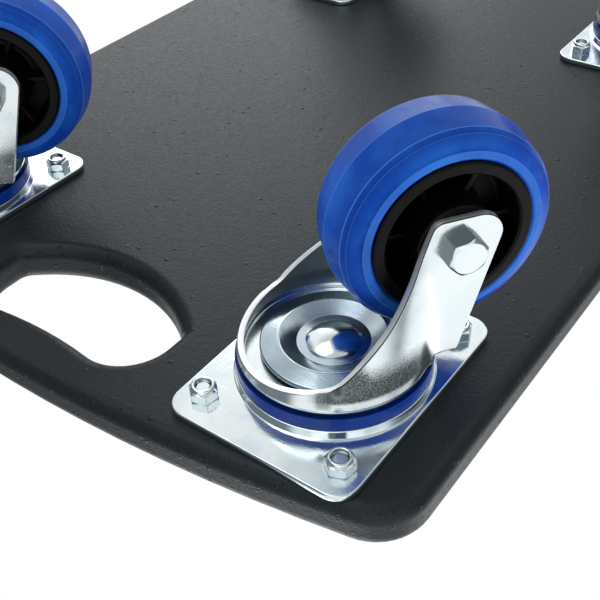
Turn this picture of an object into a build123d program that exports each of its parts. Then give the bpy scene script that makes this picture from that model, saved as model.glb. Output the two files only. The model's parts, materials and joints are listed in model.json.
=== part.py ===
from build123d import *
import os
from math import sqrt

# A transport board on four swivel casters, standing on its wheels, in millimetres.
# The origin is on the floor under the middle of the board, +Z is up, and the bowed
# front edge with the hand hole faces -Y. One caster is modelled around its own swivel
# axis, trailing towards +X, and is then set under the four corners.

# Board
board_width = 343.0
board_length = 460.0
board_thickness = 18.0
board_corner_radius = 22.0
board_edge_radius = 6.0
front_bow_radius = 825.0

# Hand hole behind the bowed front edge
hand_bar_width = 22.4
hand_hole_length = 98.0
hand_hole_depth = 47.0
hand_hole_front_radius = 196.0
hand_hole_back_radius = 71.5
hand_hole_front_corner = 20.5
hand_hole_back_corner = 5.0

# Top plate of a caster and its place on the board
plate_width = 80.0
plate_length = 105.0
plate_thickness = 3.0
plate_corner_radius = 9.0
plate_side_margin = 19.3
plate_front_margin = 13.5
plate_back_margin = 8.5
boss_drop = 3.0
boss_face_radius = 37.1
boss_foot_radius = 37.7
boss_wall = 3.5

# Bolts and nuts through the board
bolt_spacing_x = 60.0
bolt_spacing_y = 80.0
bolt_radius = 3.0
bolt_clearance = 0.3
bolt_head_radius = 6.0
bolt_head_clearance = 0.2
bolt_socket_flats = 4.0
bolt_socket_depth = 2.0
bolt_end_inset = 1.2
nut_flats = 10.0
nut_hex_height = 4.2
nut_collar_height = 1.5
nut_collar_radius = 4.45
nut_collar_taper_angle = 18.0
thread_clearance = 0.05

# Caster overall
caster_height = 99.0
wheel_radius = 40.0
caster_trail = 37.0
front_left_turn_angle = 125.0
front_right_turn_angle = 144.0
back_left_turn_angle = 250.0
back_right_turn_angle = 165.0

# Swivel head
swivel_gap = 4.4
crown_radius = 36.0
crown_bend = 3.0
crown_collar = 1.6
crown_hole_radius = 17.0
fork_thickness = 2.6
ball_clearance = 0.3
upper_ball_circle = 28.0
lower_ball_radius = 1.35
seal_inner_radius = 32.5
seal_lip_thickness = 0.5
seal_lip_clearance = 0.3
seal_lip_drop = 1.6
seal_crown_clearance = 0.5
cup_thickness = 1.8
cup_floor_gap = 0.5
cup_floor_radius = 13.7
cup_ridge_radius = 20.4
cup_edge_radius = 27.4
cup_ridge_depth = 2.7
cup_edge_depth = 0.7
pin_radius = 6.0
pin_clearance = 0.05
pin_shoulder_radius = 9.0
pin_head_clearance = 0.5
pin_dome_radius = 10.4
pin_dome_height = 4.0
pin_dome_rim = 0.8

# Fork skirt and legs
leg_outer_half = 23.2
skirt_front_drop = 13.2
skirt_side_drop = 19.8
skirt_side_reach = 11.0
skirt_side_round = 12.0
leg_knee_ahead = 21.3
leg_knee_above = 16.2
leg_knee_round = 55.0
leg_foot_below = 12.5
leg_foot_ahead = 10.0
leg_foot_behind = 16.8
leg_foot_front_round = 4.0
leg_foot_back_round = 8.5
leg_shoulder_drop = 15.0
leg_shoulder_behind = 37.8
leg_shoulder_round = 2.0

# Wheel
tyre_shoulder_half = 11.1
tyre_shoulder_drop = 1.6
tyre_flank_half = 13.2
tyre_flank_drop = 2.9
tyre_step_half = 15.2
tyre_step_drop = 7.3
tyre_lip_half = 16.3
tyre_lip_drop = 7.7
tyre_lip_width = 2.2
tyre_edge_half = 15.6
rim_radius = 28.8
rim_half = 17.0
rim_recess_radius = 24.3
rim_mouth_chamfer = 0.8
rim_web_half = 3.0
rim_channel_half = 7.0
rim_channel_depth = 1.5
rim_rib_count = 6
rim_rib_thickness = 2.2
rim_rib_inset = 8.0
hub_radius = 14.0
hub_side_gap = 0.6
bond_gap = 0.05
bearing_radius = 8.5
bearing_clearance = 0.05
bearing_inset = 1.0
sleeve_radius = 6.0
axle_radius = 4.0
axle_hole_clearance = 0.05
axle_flats = 13.0
axle_head_height = 5.3
axle_head_turn_angle = 46.0
axle_nut_hex_height = 5.6
axle_nut_collar_height = 2.4
axle_nut_collar_radius = 5.9
axle_end_length = 1.5

# Levels above the floor
plate_face = caster_height
board_underside = plate_face + plate_thickness
load_face = board_underside + board_thickness
boss_face = plate_face - boss_drop
crown_top = boss_face - swivel_gap
crown_underside = crown_top - fork_thickness
skirt_start = crown_top - crown_bend - crown_collar
cup_floor = crown_underside - cup_floor_gap
cup_underside = cup_floor - cup_thickness
axle_level = wheel_radius
foot_level = axle_level - leg_foot_below

# Places of the swivel axes and of the bolts
caster_x = board_width / 2 - plate_side_margin - plate_width / 2
front_row_y = -board_length / 2 + plate_front_margin + plate_length / 2
back_row_y = board_length / 2 - plate_back_margin - plate_length / 2
casters = {
    "front_left": (-caster_x, front_row_y, front_left_turn_angle),
    "front_right": (caster_x, front_row_y, front_right_turn_angle),
    "back_left": (-caster_x, back_row_y, back_left_turn_angle),
    "back_right": (caster_x, back_row_y, back_right_turn_angle),
}
bolt_places = [
    (x + side * bolt_spacing_x / 2, y + end * bolt_spacing_y / 2)
    for x, y, turn in casters.values()
    for side in (-1, 1)
    for end in (-1, 1)
]

# Planes and axis of the wheel, in the caster's own frame
axle_point = (caster_trail, 0, axle_level)
axle_axis = Axis(axle_point, (0, 1, 0))
axle_plane = Plane(axle_point, x_dir=(1, 0, 0), z_dir=(0, 1, 0))
wheel_section = Plane(axle_point, x_dir=(0, 1, 0), z_dir=(1, 0, 0))
leg_inner_half = leg_outer_half - fork_thickness
hub_half = leg_inner_half - hub_side_gap


def bowed_outline():
    """Plan of the board: straight sides and back, an outward bow along the front."""
    half_width = board_width / 2
    bow_depth = front_bow_radius - sqrt(front_bow_radius**2 - half_width**2)
    front = -board_length / 2
    back = board_length / 2
    with BuildSketch() as outline:
        with BuildLine():
            ThreePointArc((-half_width, front + bow_depth), (0, front), (half_width, front + bow_depth))
            Polyline(
                (half_width, front + bow_depth),
                (half_width, back),
                (-half_width, back),
                (-half_width, front + bow_depth),
            )
        make_face()
        fillet(outline.vertices(), board_corner_radius)
    return outline.sketch


def hand_hole_outline():
    """Bean-shaped hand hole: its front edge swells into it, its back edge arches away."""
    half = hand_hole_length / 2
    front = -board_length / 2 + hand_bar_width
    back = front + hand_hole_depth
    front_sag = hand_hole_front_radius - sqrt(hand_hole_front_radius**2 - half**2)
    back_sag = hand_hole_back_radius - sqrt(hand_hole_back_radius**2 - half**2)
    with BuildSketch() as outline:
        with BuildLine():
            ThreePointArc((-half, front - front_sag), (0, front), (half, front - front_sag))
            Line((half, front - front_sag), (half, back - back_sag))
            ThreePointArc((half, back - back_sag), (0, back), (-half, back - back_sag))
            Line((-half, back - back_sag), (-half, front - front_sag))
        make_face()
        fillet(outline.vertices().group_by(Axis.Y)[0], hand_hole_front_corner)
        back_corners = [v for v in outline.vertices() if abs(v.Y - (back - back_sag)) < 0.01]
        fillet(back_corners, hand_hole_back_corner)
    return outline.sketch


with BuildPart() as board:
    with BuildSketch(Plane.XY.offset(board_underside)):
        add(bowed_outline())
        add(hand_hole_outline(), mode=Mode.SUBTRACT)
    extrude(amount=board_thickness)
    rims = board.faces().sort_by(Axis.Z)[0].edges() + board.faces().sort_by(Axis.Z)[-1].edges()
    fillet(rims, board_edge_radius)
    with Locations(*[(x, y, load_face) for x, y in bolt_places]):
        CounterSinkHole(
            radius=bolt_radius + bolt_clearance,
            counter_sink_radius=bolt_head_radius + bolt_head_clearance,
            depth=board_thickness,
        )

# Countersunk bolts, flush with the load face, ending just inside the nuts' collars
bolt_end = plate_face - nut_hex_height - nut_collar_height + bolt_end_inset
with BuildPart() as plate_bolts:
    with BuildSketch(Plane.XY.offset(load_face)):
        with Locations(*bolt_places):
            Circle(bolt_head_radius)
    extrude(amount=-(bolt_head_radius - bolt_radius), taper=45)
    with BuildSketch(Plane.XY.offset(bolt_end)):
        with Locations(*bolt_places):
            Circle(bolt_radius)
    extrude(amount=load_face - bolt_end - bolt_socket_depth)
    with BuildSketch(Plane.XY.offset(load_face)):
        with Locations(*bolt_places):
            RegularPolygon(bolt_socket_flats / 2, 6, major_radius=False)
    extrude(amount=-bolt_socket_depth, mode=Mode.SUBTRACT)

# Lock nuts: a hexagon with a drawn-in collar
with BuildPart() as plate_nuts:
    with BuildSketch(Plane.XY.offset(plate_face)):
        with Locations(*bolt_places):
            RegularPolygon(nut_flats / 2, 6, major_radius=False)
    extrude(amount=-nut_hex_height)
    with BuildSketch(Plane.XY.offset(plate_face - nut_hex_height)):
        with Locations(*bolt_places):
            Circle(nut_collar_radius)
    extrude(amount=-nut_collar_height, taper=nut_collar_taper_angle)
    with BuildSketch(Plane.XY.offset(plate_face)):
        with Locations(*bolt_places):
            Circle(bolt_radius + thread_clearance)
    extrude(amount=-nut_hex_height - nut_collar_height, mode=Mode.SUBTRACT)

# Pressed top plate: a flat flange with a round boss, hollow on the board side
with BuildPart() as top_plate:
    with BuildSketch(Plane.XY.offset(plate_face)):
        RectangleRounded(plate_width, plate_length, plate_corner_radius)
    extrude(amount=plate_thickness)
    with BuildSketch(Plane.XZ):
        with BuildLine():
            Polyline(
                (0, plate_face + plate_thickness / 2),
                (boss_foot_radius, plate_face + plate_thickness / 2),
                (boss_foot_radius, plate_face),
                (boss_face_radius, boss_face),
                (0, boss_face),
                close=True,
            )
        make_face()
    revolve(axis=Axis.Z)
    with BuildSketch(Plane.XZ):
        with BuildLine():
            Polyline(
                (0, board_underside),
                (boss_foot_radius - boss_wall, board_underside),
                (boss_face_radius - boss_wall, board_underside - boss_drop),
                (0, board_underside - boss_drop),
                close=True,
            )
        make_face()
    revolve(axis=Axis.Z, mode=Mode.SUBTRACT)
    with BuildSketch(Plane.XY.offset(boss_face)):
        Circle(pin_radius + pin_clearance)
        with GridLocations(bolt_spacing_x, bolt_spacing_y, 2, 2):
            Circle(bolt_radius + bolt_clearance)
    extrude(amount=board_underside - boss_face, mode=Mode.SUBTRACT)

# Dust seal: a ring on the boss whose thin lip hangs over the edge of the fork's crown
seal_lip_radius = crown_radius + seal_lip_clearance
seal_outer_radius = seal_lip_radius + seal_lip_thickness
seal_base = crown_top + seal_crown_clearance
with BuildPart() as seal_ring:
    with BuildSketch(Plane.XZ):
        with BuildLine():
            Polyline(
                (seal_inner_radius, boss_face),
                (seal_outer_radius, boss_face),
                (seal_outer_radius, seal_base - seal_lip_drop),
                (seal_lip_radius, seal_base - seal_lip_drop),
                (seal_lip_radius, seal_base),
                (seal_inner_radius, seal_base),
                close=True,
            )
        make_face()
    revolve(axis=Axis.Z)

# Rows of balls, each a full row that fills its track, as a ring of few faces
upper_ball_radius = (swivel_gap - ball_clearance) / 2
with BuildPart() as upper_ball_row:
    with BuildSketch(Plane.XZ):
        with Locations((upper_ball_circle, boss_face - upper_ball_radius)):
            RegularPolygon(upper_ball_radius, 8, major_radius=False, rotation=22.5)
    revolve(axis=Axis.Z)

with BuildPart() as lower_ball_row:
    with BuildSketch(Plane.XZ):
        with Locations((cup_ridge_radius, crown_underside - ball_clearance - lower_ball_radius)):
            RegularPolygon(lower_ball_radius, 8, rotation=22.5)
    revolve(axis=Axis.Z)

# Lower race: a pressed cup whose trough carries the lower balls
with BuildPart() as race_cup:
    with BuildSketch(Plane.XZ):
        with BuildLine():
            Polyline(
                (pin_radius + pin_clearance, cup_floor),
                (cup_floor_radius, cup_floor),
                (cup_ridge_radius, cup_floor - cup_ridge_depth),
                (cup_edge_radius, cup_floor - cup_edge_depth),
                (cup_edge_radius, cup_underside - cup_edge_depth),
                (cup_ridge_radius, cup_underside - cup_ridge_depth),
                (cup_floor_radius, cup_underside),
                (pin_radius + pin_clearance, cup_underside),
                close=True,
            )
        make_face()
    revolve(axis=Axis.Z)

# King pin: riveted over the plate above, a spacing shoulder, and a domed head below
pin_head_top = plate_face + boss_drop - pin_head_clearance
dome_rim = cup_underside - pin_dome_rim
dome_top = cup_underside - pin_dome_height
with BuildPart() as king_pin:
    with BuildSketch(Plane.XZ):
        with BuildLine():
            Polyline(
                (0, dome_top),
                (0, pin_head_top),
                (pin_shoulder_radius, pin_head_top),
                (pin_shoulder_radius, plate_face),
                (pin_radius, plate_face),
                (pin_radius, boss_face),
                (pin_shoulder_radius, boss_face),
                (pin_shoulder_radius, cup_floor),
                (pin_radius, cup_floor),
                (pin_radius, cup_underside),
                (pin_dome_radius, cup_underside),
                (pin_dome_radius, dome_rim),
            )
            TangentArc((0, dome_top), (pin_dome_radius, dome_rim), tangent=(1, 0))
        make_face()
    revolve(axis=Axis.Z)


def collar_outline(radius, half_width, back):
    """Plan of the fork's wall at the crown: round, running back into the two legs."""
    join = sqrt(radius**2 - half_width**2)
    between = sqrt(radius**2 - (join / 2) ** 2)
    with BuildSketch(Plane.XY.offset(skirt_start)) as outline:
        with BuildLine():
            Line((back, half_width), (join, half_width))
            ThreePointArc((join, half_width), (join / 2, between), (0, radius))
            ThreePointArc((0, radius), (-radius, 0), (0, -radius))
            ThreePointArc((0, -radius), (join / 2, -between), (join, -half_width))
            Line((join, -half_width), (back, -half_width))
            Line((back, -half_width), (back, half_width))
        make_face()
    return outline.sketch


def foot_outline(radius, half_width, back):
    """Plan of the fork's wall at the feet: the flanks have drawn in flush with the legs."""
    join = sqrt(radius**2 - half_width**2)
    with BuildSketch(Plane.XY.offset(foot_level)) as outline:
        with BuildLine():
            Line((back, half_width), (join, half_width))
            Line((join, half_width), (0, half_width))
            ThreePointArc((0, half_width), (-half_width, 0), (0, -half_width))
            Line((0, -half_width), (join, -half_width))
            Line((join, -half_width), (back, -half_width))
            Line((back, -half_width), (back, half_width))
        make_face()
    return outline.sketch


def fork_side_outline():
    """Side view of the fork below its crown: skirt, swept legs and rounded feet."""
    skirt_front = -crown_radius - fork_thickness
    skirt_join = sqrt(crown_radius**2 - leg_outer_half**2)
    corners = [
        (skirt_front, skirt_start),
        (skirt_front, plate_face - skirt_front_drop),
        (-skirt_side_reach, plate_face - skirt_side_drop),
        (caster_trail - leg_knee_ahead, axle_level + leg_knee_above),
        (caster_trail - leg_foot_ahead, foot_level),
        (caster_trail + leg_foot_behind, foot_level),
        (leg_shoulder_behind, plate_face - leg_shoulder_drop),
        (skirt_join, plate_face - leg_shoulder_drop),
        (skirt_join, skirt_start),
    ]
    rounds = {
        2: skirt_side_round,
        3: leg_knee_round,
        4: leg_foot_front_round,
        5: leg_foot_back_round,
        6: leg_shoulder_round,
    }
    with BuildSketch(Plane.XZ) as outline:
        with BuildLine():
            Polyline(*corners, close=True)
        make_face()
        for index, radius in rounds.items():
            corner = Vector(*corners[index])
            fillet(outline.vertices().sort_by_distance(corner)[0], radius)
    return outline.sketch


# Pressed fork: a flat round crown bends into a skirt that draws in to two swept legs
leg_back = caster_trail + leg_foot_behind
with BuildPart() as fork:
    loft(
        sections=[
            collar_outline(crown_radius, leg_outer_half, leg_back),
            foot_outline(crown_radius, leg_outer_half, leg_back),
        ],
        ruled=True,
    )
    loft(
        sections=[
            collar_outline(crown_radius - fork_thickness, leg_inner_half, leg_back),
            foot_outline(crown_radius - fork_thickness, leg_inner_half, leg_back),
        ],
        ruled=True,
        mode=Mode.SUBTRACT,
    )
    extrude(fork_side_outline(), amount=2 * crown_radius, both=True, mode=Mode.INTERSECT)
    with BuildSketch(Plane.XZ):
        with BuildLine():
            Line((crown_hole_radius, crown_top), (crown_radius - crown_bend, crown_top))
            JernArc((crown_radius - crown_bend, crown_top), (1, 0), crown_bend, -90)
            Polyline(
                (crown_radius, crown_top - crown_bend),
                (crown_radius, skirt_start),
                (crown_radius - fork_thickness, skirt_start),
                (crown_radius - fork_thickness, crown_underside),
                (crown_hole_radius, crown_underside),
                (crown_hole_radius, crown_top),
            )
        make_face()
    revolve(axis=Axis.Z)
    with BuildSketch(axle_plane):
        Circle(axle_radius + axle_hole_clearance)
    extrude(amount=leg_outer_half, both=True, mode=Mode.SUBTRACT)

# Solid rubber tyre: a roof-shaped tread, crisp shoulders, sloping flanks and a stepped lip by the rim
tyre_bore = rim_radius + bond_gap
lip_radius = wheel_radius - tyre_lip_drop
with BuildPart() as tyre:
    with BuildSketch(wheel_section):
        with BuildLine():
            Polyline(
                (0, wheel_radius),
                (tyre_shoulder_half, wheel_radius - tyre_shoulder_drop),
                (tyre_flank_half, wheel_radius - tyre_flank_drop),
                (tyre_step_half, wheel_radius - tyre_step_drop),
                (tyre_lip_half, lip_radius),
                (tyre_lip_half, lip_radius - tyre_lip_width),
                (tyre_edge_half, tyre_bore),
                (rim_channel_half - bond_gap, tyre_bore),
                (rim_channel_half - bond_gap, tyre_bore - rim_channel_depth),
                (0, tyre_bore - rim_channel_depth),
                close=True,
            )
        make_face()
        mirror(about=Plane.YZ)
    revolve(axis=axle_axis)

# Moulded rim: tyre bed, web and hub, with thin ribs standing in the recess on both sides
bearing_bore = bearing_radius + bearing_clearance
with BuildPart() as rim:
    with BuildSketch(wheel_section):
        with BuildLine():
            Polyline(
                (0, bearing_bore),
                (hub_half, bearing_bore),
                (hub_half, hub_radius),
                (rim_web_half, hub_radius),
                (rim_web_half, rim_recess_radius),
                (rim_half - rim_mouth_chamfer, rim_recess_radius),
                (rim_half, rim_recess_radius + rim_mouth_chamfer),
                (rim_half, rim_radius),
                (rim_channel_half, rim_radius),
                (rim_channel_half, rim_radius - rim_channel_depth),
                (0, rim_radius - rim_channel_depth),
                close=True,
            )
        make_face()
        mirror(about=Plane.YZ)
    revolve(axis=axle_axis)
    with BuildSketch(axle_plane):
        Circle((rim_recess_radius + rim_radius - rim_channel_depth) / 2)
        Circle((hub_radius + bearing_bore) / 2, mode=Mode.SUBTRACT)
        with PolarLocations(0, rim_rib_count):
            Rectangle(2 * rim_radius, rim_rib_thickness, mode=Mode.INTERSECT)
    extrude(amount=rim_half - rim_rib_inset, both=True)

# Roller bearing in the hub, turning on a steel sleeve clamped between the legs
with BuildPart() as roller_bearing:
    with BuildSketch(axle_plane):
        Circle(bearing_radius)
        Circle(sleeve_radius + bearing_clearance, mode=Mode.SUBTRACT)
    extrude(amount=hub_half - bearing_inset, both=True)

with BuildPart() as axle_sleeve:
    with BuildSketch(axle_plane):
        Circle(sleeve_radius)
        Circle(axle_radius + axle_hole_clearance, mode=Mode.SUBTRACT)
    extrude(amount=leg_inner_half, both=True)

# Axle bolt and its lock nut
axle_bolt_length = 2 * leg_outer_half + axle_nut_hex_height + axle_nut_collar_height + axle_end_length
with BuildPart() as axle_bolt:
    with BuildSketch(axle_plane.offset(leg_outer_half)):
        RegularPolygon(axle_flats / 2, 6, major_radius=False, rotation=axle_head_turn_angle)
    extrude(amount=axle_head_height)
    with BuildSketch(axle_plane.offset(leg_outer_half)):
        Circle(axle_radius)
    extrude(amount=-axle_bolt_length)

with BuildPart() as axle_nut:
    with BuildSketch(axle_plane.offset(-leg_outer_half)):
        RegularPolygon(axle_flats / 2, 6, major_radius=False)
    extrude(amount=-axle_nut_hex_height)
    with BuildSketch(axle_plane.offset(-leg_outer_half - axle_nut_hex_height)):
        Circle(axle_nut_collar_radius)
    extrude(amount=-axle_nut_collar_height, taper=nut_collar_taper_angle)
    with BuildSketch(axle_plane.offset(-leg_outer_half)):
        Circle(axle_radius + thread_clearance)
    extrude(amount=-axle_nut_hex_height - axle_nut_collar_height, mode=Mode.SUBTRACT)

# One file for each piece
os.makedirs("parts", exist_ok=True)

for name, single in {"board": board, "plate_bolts": plate_bolts, "plate_nuts": plate_nuts}.items():
    single.part.label = name
    export_step(single.part, f"parts/{name}.step")

fixed_pieces = {
    "top_plate": top_plate,
    "seal_ring": seal_ring,
    "upper_ball_row": upper_ball_row,
    "lower_ball_row": lower_ball_row,
    "race_cup": race_cup,
    "king_pin": king_pin,
}
swivelling_pieces = {
    "fork": fork,
    "axle_sleeve": axle_sleeve,
    "axle_bolt": axle_bolt,
    "axle_nut": axle_nut,
    "tyre": tyre,
    "rim": rim,
    "roller_bearing": roller_bearing,
}
for caster, (x, y, turn) in casters.items():
    under_corner = Location((x, y, 0))
    trailing = Location((x, y, 0), (0, 0, turn))
    for pieces, place in ((fixed_pieces, under_corner), (swivelling_pieces, trailing)):
        for name, single in pieces.items():
            piece = single.part.moved(place)
            piece.label = f"{caster}_{name}"
            export_step(piece, f"parts/{caster}_{name}.step")
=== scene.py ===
"""Looks of a transport board on four swivel casters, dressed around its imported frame.

Shapes are worked out in millimetres in the board's own frame: +Z up, the floor at zero,
the bowed front edge with the hand hole towards -Y. Meshes are written in metres.
"""

import json
import logging
import math
from dataclasses import dataclass, field
from enum import Enum
from typing import Callable, Sequence, Union

import bmesh
import bpy
import numpy as np
from mathutils import Matrix, Vector


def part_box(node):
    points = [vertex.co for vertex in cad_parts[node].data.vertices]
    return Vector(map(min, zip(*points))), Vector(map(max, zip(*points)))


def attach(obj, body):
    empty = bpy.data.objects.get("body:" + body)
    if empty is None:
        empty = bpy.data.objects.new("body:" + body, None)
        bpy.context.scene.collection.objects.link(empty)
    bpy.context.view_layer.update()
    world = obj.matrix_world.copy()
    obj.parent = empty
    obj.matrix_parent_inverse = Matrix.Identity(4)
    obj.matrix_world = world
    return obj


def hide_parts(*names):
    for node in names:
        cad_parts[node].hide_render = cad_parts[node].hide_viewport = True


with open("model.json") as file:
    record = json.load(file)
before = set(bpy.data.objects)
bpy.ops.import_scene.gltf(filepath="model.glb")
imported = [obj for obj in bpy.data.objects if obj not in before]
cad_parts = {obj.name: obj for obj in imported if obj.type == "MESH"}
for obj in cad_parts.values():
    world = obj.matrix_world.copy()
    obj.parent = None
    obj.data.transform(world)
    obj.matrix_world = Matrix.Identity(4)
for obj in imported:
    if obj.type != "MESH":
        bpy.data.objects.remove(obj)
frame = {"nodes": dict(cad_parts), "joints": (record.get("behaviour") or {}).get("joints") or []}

log = logging.getLogger("caster_board")

Array = np.ndarray
Triple = tuple[float, float, float]
Colour = Triple
Socket = bpy.types.NodeSocket
Value = Union[Socket, float, Sequence[float]]
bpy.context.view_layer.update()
MM = 0.001
FULL_TURN = 2.0 * math.pi
TINY = 1e-9
WELD_DISTANCE = 2e-6
THREAD_ROWS = 8  # rows of points in one pitch of a thread
THREAD_DEPTH = 0.55  # depth of a thread in shares of its pitch
PLATE_THICKNESS = 3.0
LEG_HALF = 23.2  # from the middle of a caster to the outer face of a leg
FIT = 0.05  # clearance of fitted pieces, as in the solids
RIM_MARGIN = 0.0001  # how far inside the board's faces its rounded rims start, in metres


class Corner(Enum):
    """The four casters, named as the frame names them."""

    FRONT_LEFT = "front_left"
    FRONT_RIGHT = "front_right"
    BACK_LEFT = "back_left"
    BACK_RIGHT = "back_right"


class Slot(Enum):
    """Material slots of the record, listed with the swivel head's pieces but not read."""

    STEEL = "zinc_steel"
    BOLT = "zinc_bolt"
    RUBBER = "blue_rubber"
    SEAL = "blue_seal"
    RIM = "black_plastic"


# Surfaces


@dataclass(frozen=True)
class Surface:
    """Points in millimetres with the quads between them.

    Quads that share points at a pole become triangles when the mesh is welded. Marks are
    named values from 0 to 1 at the points, for finishes that follow the surface.
    """

    points: Array
    quads: Array
    marks: dict[str, Array] = field(default_factory=dict)

    def moved(self, change: Callable[[Array], Array]) -> "Surface":
        """The same quads and marks over changed points."""
        return Surface(change(self.points), self.quads, self.marks)

    def mark(self, name: str) -> Array:
        """A mark's value at each point, zero where the surface carries none."""
        return self.marks.get(name, np.zeros(len(self.points)))


def joined(parts: Sequence[Surface]) -> Surface:
    """Puts several surfaces into one.

    Args:
        parts: surfaces in one frame.

    Returns:
        One surface with the quads and marks of all of them.
    """
    starts = np.cumsum([0] + [len(part.points) for part in parts[:-1]])
    points = np.concatenate([part.points for part in parts])
    quads = np.concatenate([part.quads + start for part, start in zip(parts, starts)])
    names = {name for part in parts for name in part.marks}
    marks = {name: np.concatenate([part.mark(name) for part in parts]) for name in names}
    return Surface(points, quads, marks)


def grid(points: Array, wrap_rows: bool = False, wrap_columns: bool = False) -> Surface:
    """Quads over a grid of points: each quad joins two rows and two columns.

    Args:
        points: array of rows, columns and three coordinates.
        wrap_rows: whether the last row meets the first.
        wrap_columns: whether the last column meets the first.

    Returns:
        The surface over the grid.
    """
    rows, columns = points.shape[:2]
    index = np.arange(rows * columns).reshape(rows, columns)
    if wrap_rows:
        index = np.concatenate([index, index[:1]], axis=0)
    if wrap_columns:
        index = np.concatenate([index, index[:, :1]], axis=1)
    corners = (index[:-1, :-1], index[:-1, 1:], index[1:, 1:], index[1:, :-1])
    return Surface(points.reshape(-1, 3), np.stack(corners, axis=-1).reshape(-1, 4))


def rounded(corners: Sequence[tuple[float, ...]], closed: bool = True, steps: int = 6) -> Array:
    """Outline through corners, each drawn as an arc tangent to both of its sides.

    Args:
        corners: points as (x, y) or (x, y, radius).
        closed: whether the last corner runs back to the first.
        steps: spans in each arc.

    Returns:
        The outline's points in order.
    """
    spots = np.array([corner[:2] for corner in corners], float)
    radii = [corner[2] if len(corner) > 2 else 0.0 for corner in corners]
    count = len(spots)
    pieces = []
    for i, (spot, radius) in enumerate(zip(spots, radii)):
        at_end = not closed and i in (0, count - 1)
        if radius <= 0 or at_end:
            pieces.append(spot[None])
            continue
        back = spots[i - 1] - spot
        ahead = spots[(i + 1) % count] - spot
        back = back / np.linalg.norm(back)
        ahead = ahead / np.linalg.norm(ahead)
        half = np.arccos(np.clip(back @ ahead, -1, 1)) / 2
        middle = back + ahead
        centre = spot + middle / np.linalg.norm(middle) * radius / np.sin(half)
        first = spot + back * radius / np.tan(half) - centre
        last = spot + ahead * radius / np.tan(half) - centre
        sweep = math.pi - 2 * half
        share = np.linspace(0, 1, steps + 1)[:, None]
        arc = (np.sin((1 - share) * sweep) * first + np.sin(share * sweep) * last) / np.sin(sweep)
        pieces.append(centre + arc)
    return np.concatenate(pieces)


def held(outline: Array, gap: float = 0.15) -> Array:
    """Outline with a point added near both ends of each long span, so that flats shade flat.

    Args:
        outline: points in order.
        gap: distance of the added points from the ends.

    Returns:
        The denser outline.
    """
    start, end = outline[:-1], outline[1:]
    length = np.linalg.norm(end - start, axis=1)
    share = np.where(length > 4 * gap, gap / np.maximum(length, TINY), 0.0)[:, None]
    run = np.stack([start, start + share * (end - start), end - share * (end - start)], axis=1)
    kept = np.stack([share[:, 0] >= 0, share[:, 0] > 0, share[:, 0] > 0], axis=1)
    return np.concatenate([run[kept], outline[-1:]])


def mirrored(half: Sequence[tuple[float, ...]]) -> list[tuple[float, ...]]:
    """Corners of half a section, then the same corners on the other side, back to the start.

    Args:
        half: corners as (radius, side) or (radius, side, rounding). One that lies on the
            middle is kept once.

    Returns:
        Corners of the whole section.
    """
    other = [(corner[0], -corner[1], *corner[2:]) for corner in reversed(half) if corner[1] != 0]
    return [*half, *other]


def bell(off: Array) -> Array:
    """Bell curve: 1 at zero, falling away on both sides."""
    return np.exp(-0.5 * off**2)


def ramp(way: Array, width: float) -> Array:
    """Straight rise from 0 at zero to 1 at the given width, level on both sides of it."""
    return np.clip(way / width, 0, 1)


def turns(count: int) -> Array:
    """Evenly spaced angles of one full turn, in radians."""
    return np.linspace(0, FULL_TURN, count, endpoint=False)


def turned(radius: Array, height: Array, angle: Array) -> Array:
    """Grid of points (r cos a, r sin a, z) from a radius and a height at each row and angle."""
    height = height + 0 * angle
    return np.stack([radius * np.cos(angle), radius * np.sin(angle), height], axis=-1)


def lathe(profile: Array, count: int = 128, closed: bool = True) -> Surface:
    """Turns a profile about +Z.

    Args:
        profile: points as (radius, height).
        count: spans around the turn.
        closed: whether the profile is a loop. An open one ends on the axis.

    Returns:
        The turned surface.
    """
    if closed:
        profile = held(np.concatenate([profile, profile[:1]]))[:-1]
    else:
        profile = held(profile)
    angle = turns(count)[None, :]
    return grid(turned(profile[:, 0:1], profile[:, 1:2], angle), wrap_rows=closed, wrap_columns=True)


def spun(angle: float, flip: bool = False) -> Callable[[Array], Array]:
    """A turn of points about +Z, with their heights turned over where flip is set.

    Args:
        angle: the turn in radians.
        flip: whether heights change sign.

    Returns:
        A function that turns points.
    """
    c, s = math.cos(angle), math.sin(angle)
    matrix = np.array([[c, s, 0], [-s, c, 0], [0, 0, -1 if flip else 1]])
    return lambda points: points @ matrix


def shifted(x: float, y: float, z: float) -> Callable[[Array], Array]:
    """A shift of points."""
    step = np.array([x, y, z])
    return lambda points: points + step


def hexagon(angle: Array, flats: Array, blunt: float = 0.985) -> Array:
    """Radius of a hexagon at each angle: half the flats over the cosine from the nearest flat.

    Args:
        angle: angles in radians.
        flats: size across flats.
        blunt: share of the full corner radius that the blunted corners keep.

    Returns:
        The radius at each angle.
    """
    sector = FULL_TURN / 6
    off_flat = np.mod(angle + sector / 2, sector) - sector / 2
    reach = flats / 2 / np.cos(off_flat)
    return np.minimum(reach, blunt * flats / math.sqrt(3))


def faceted(rows: Array, count: int = 72) -> Array:
    """Turned piece with hexagon stretches: each radius is the least of the row's and its hexagon's.

    Args:
        rows: points as (radius, height, flats), where flats of zero means plain round.
        count: spans around the turn, a multiple of six.

    Returns:
        Grid of points, a row for each height.
    """
    angle = turns(count)[None, :]
    radius, height, flats = rows[:, 0:1], rows[:, 1:2], rows[:, 2:3]
    hexed = np.where(flats > 0, hexagon(angle, np.maximum(flats, TINY)), np.inf)
    return turned(np.minimum(radius, hexed), height, angle)


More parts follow.
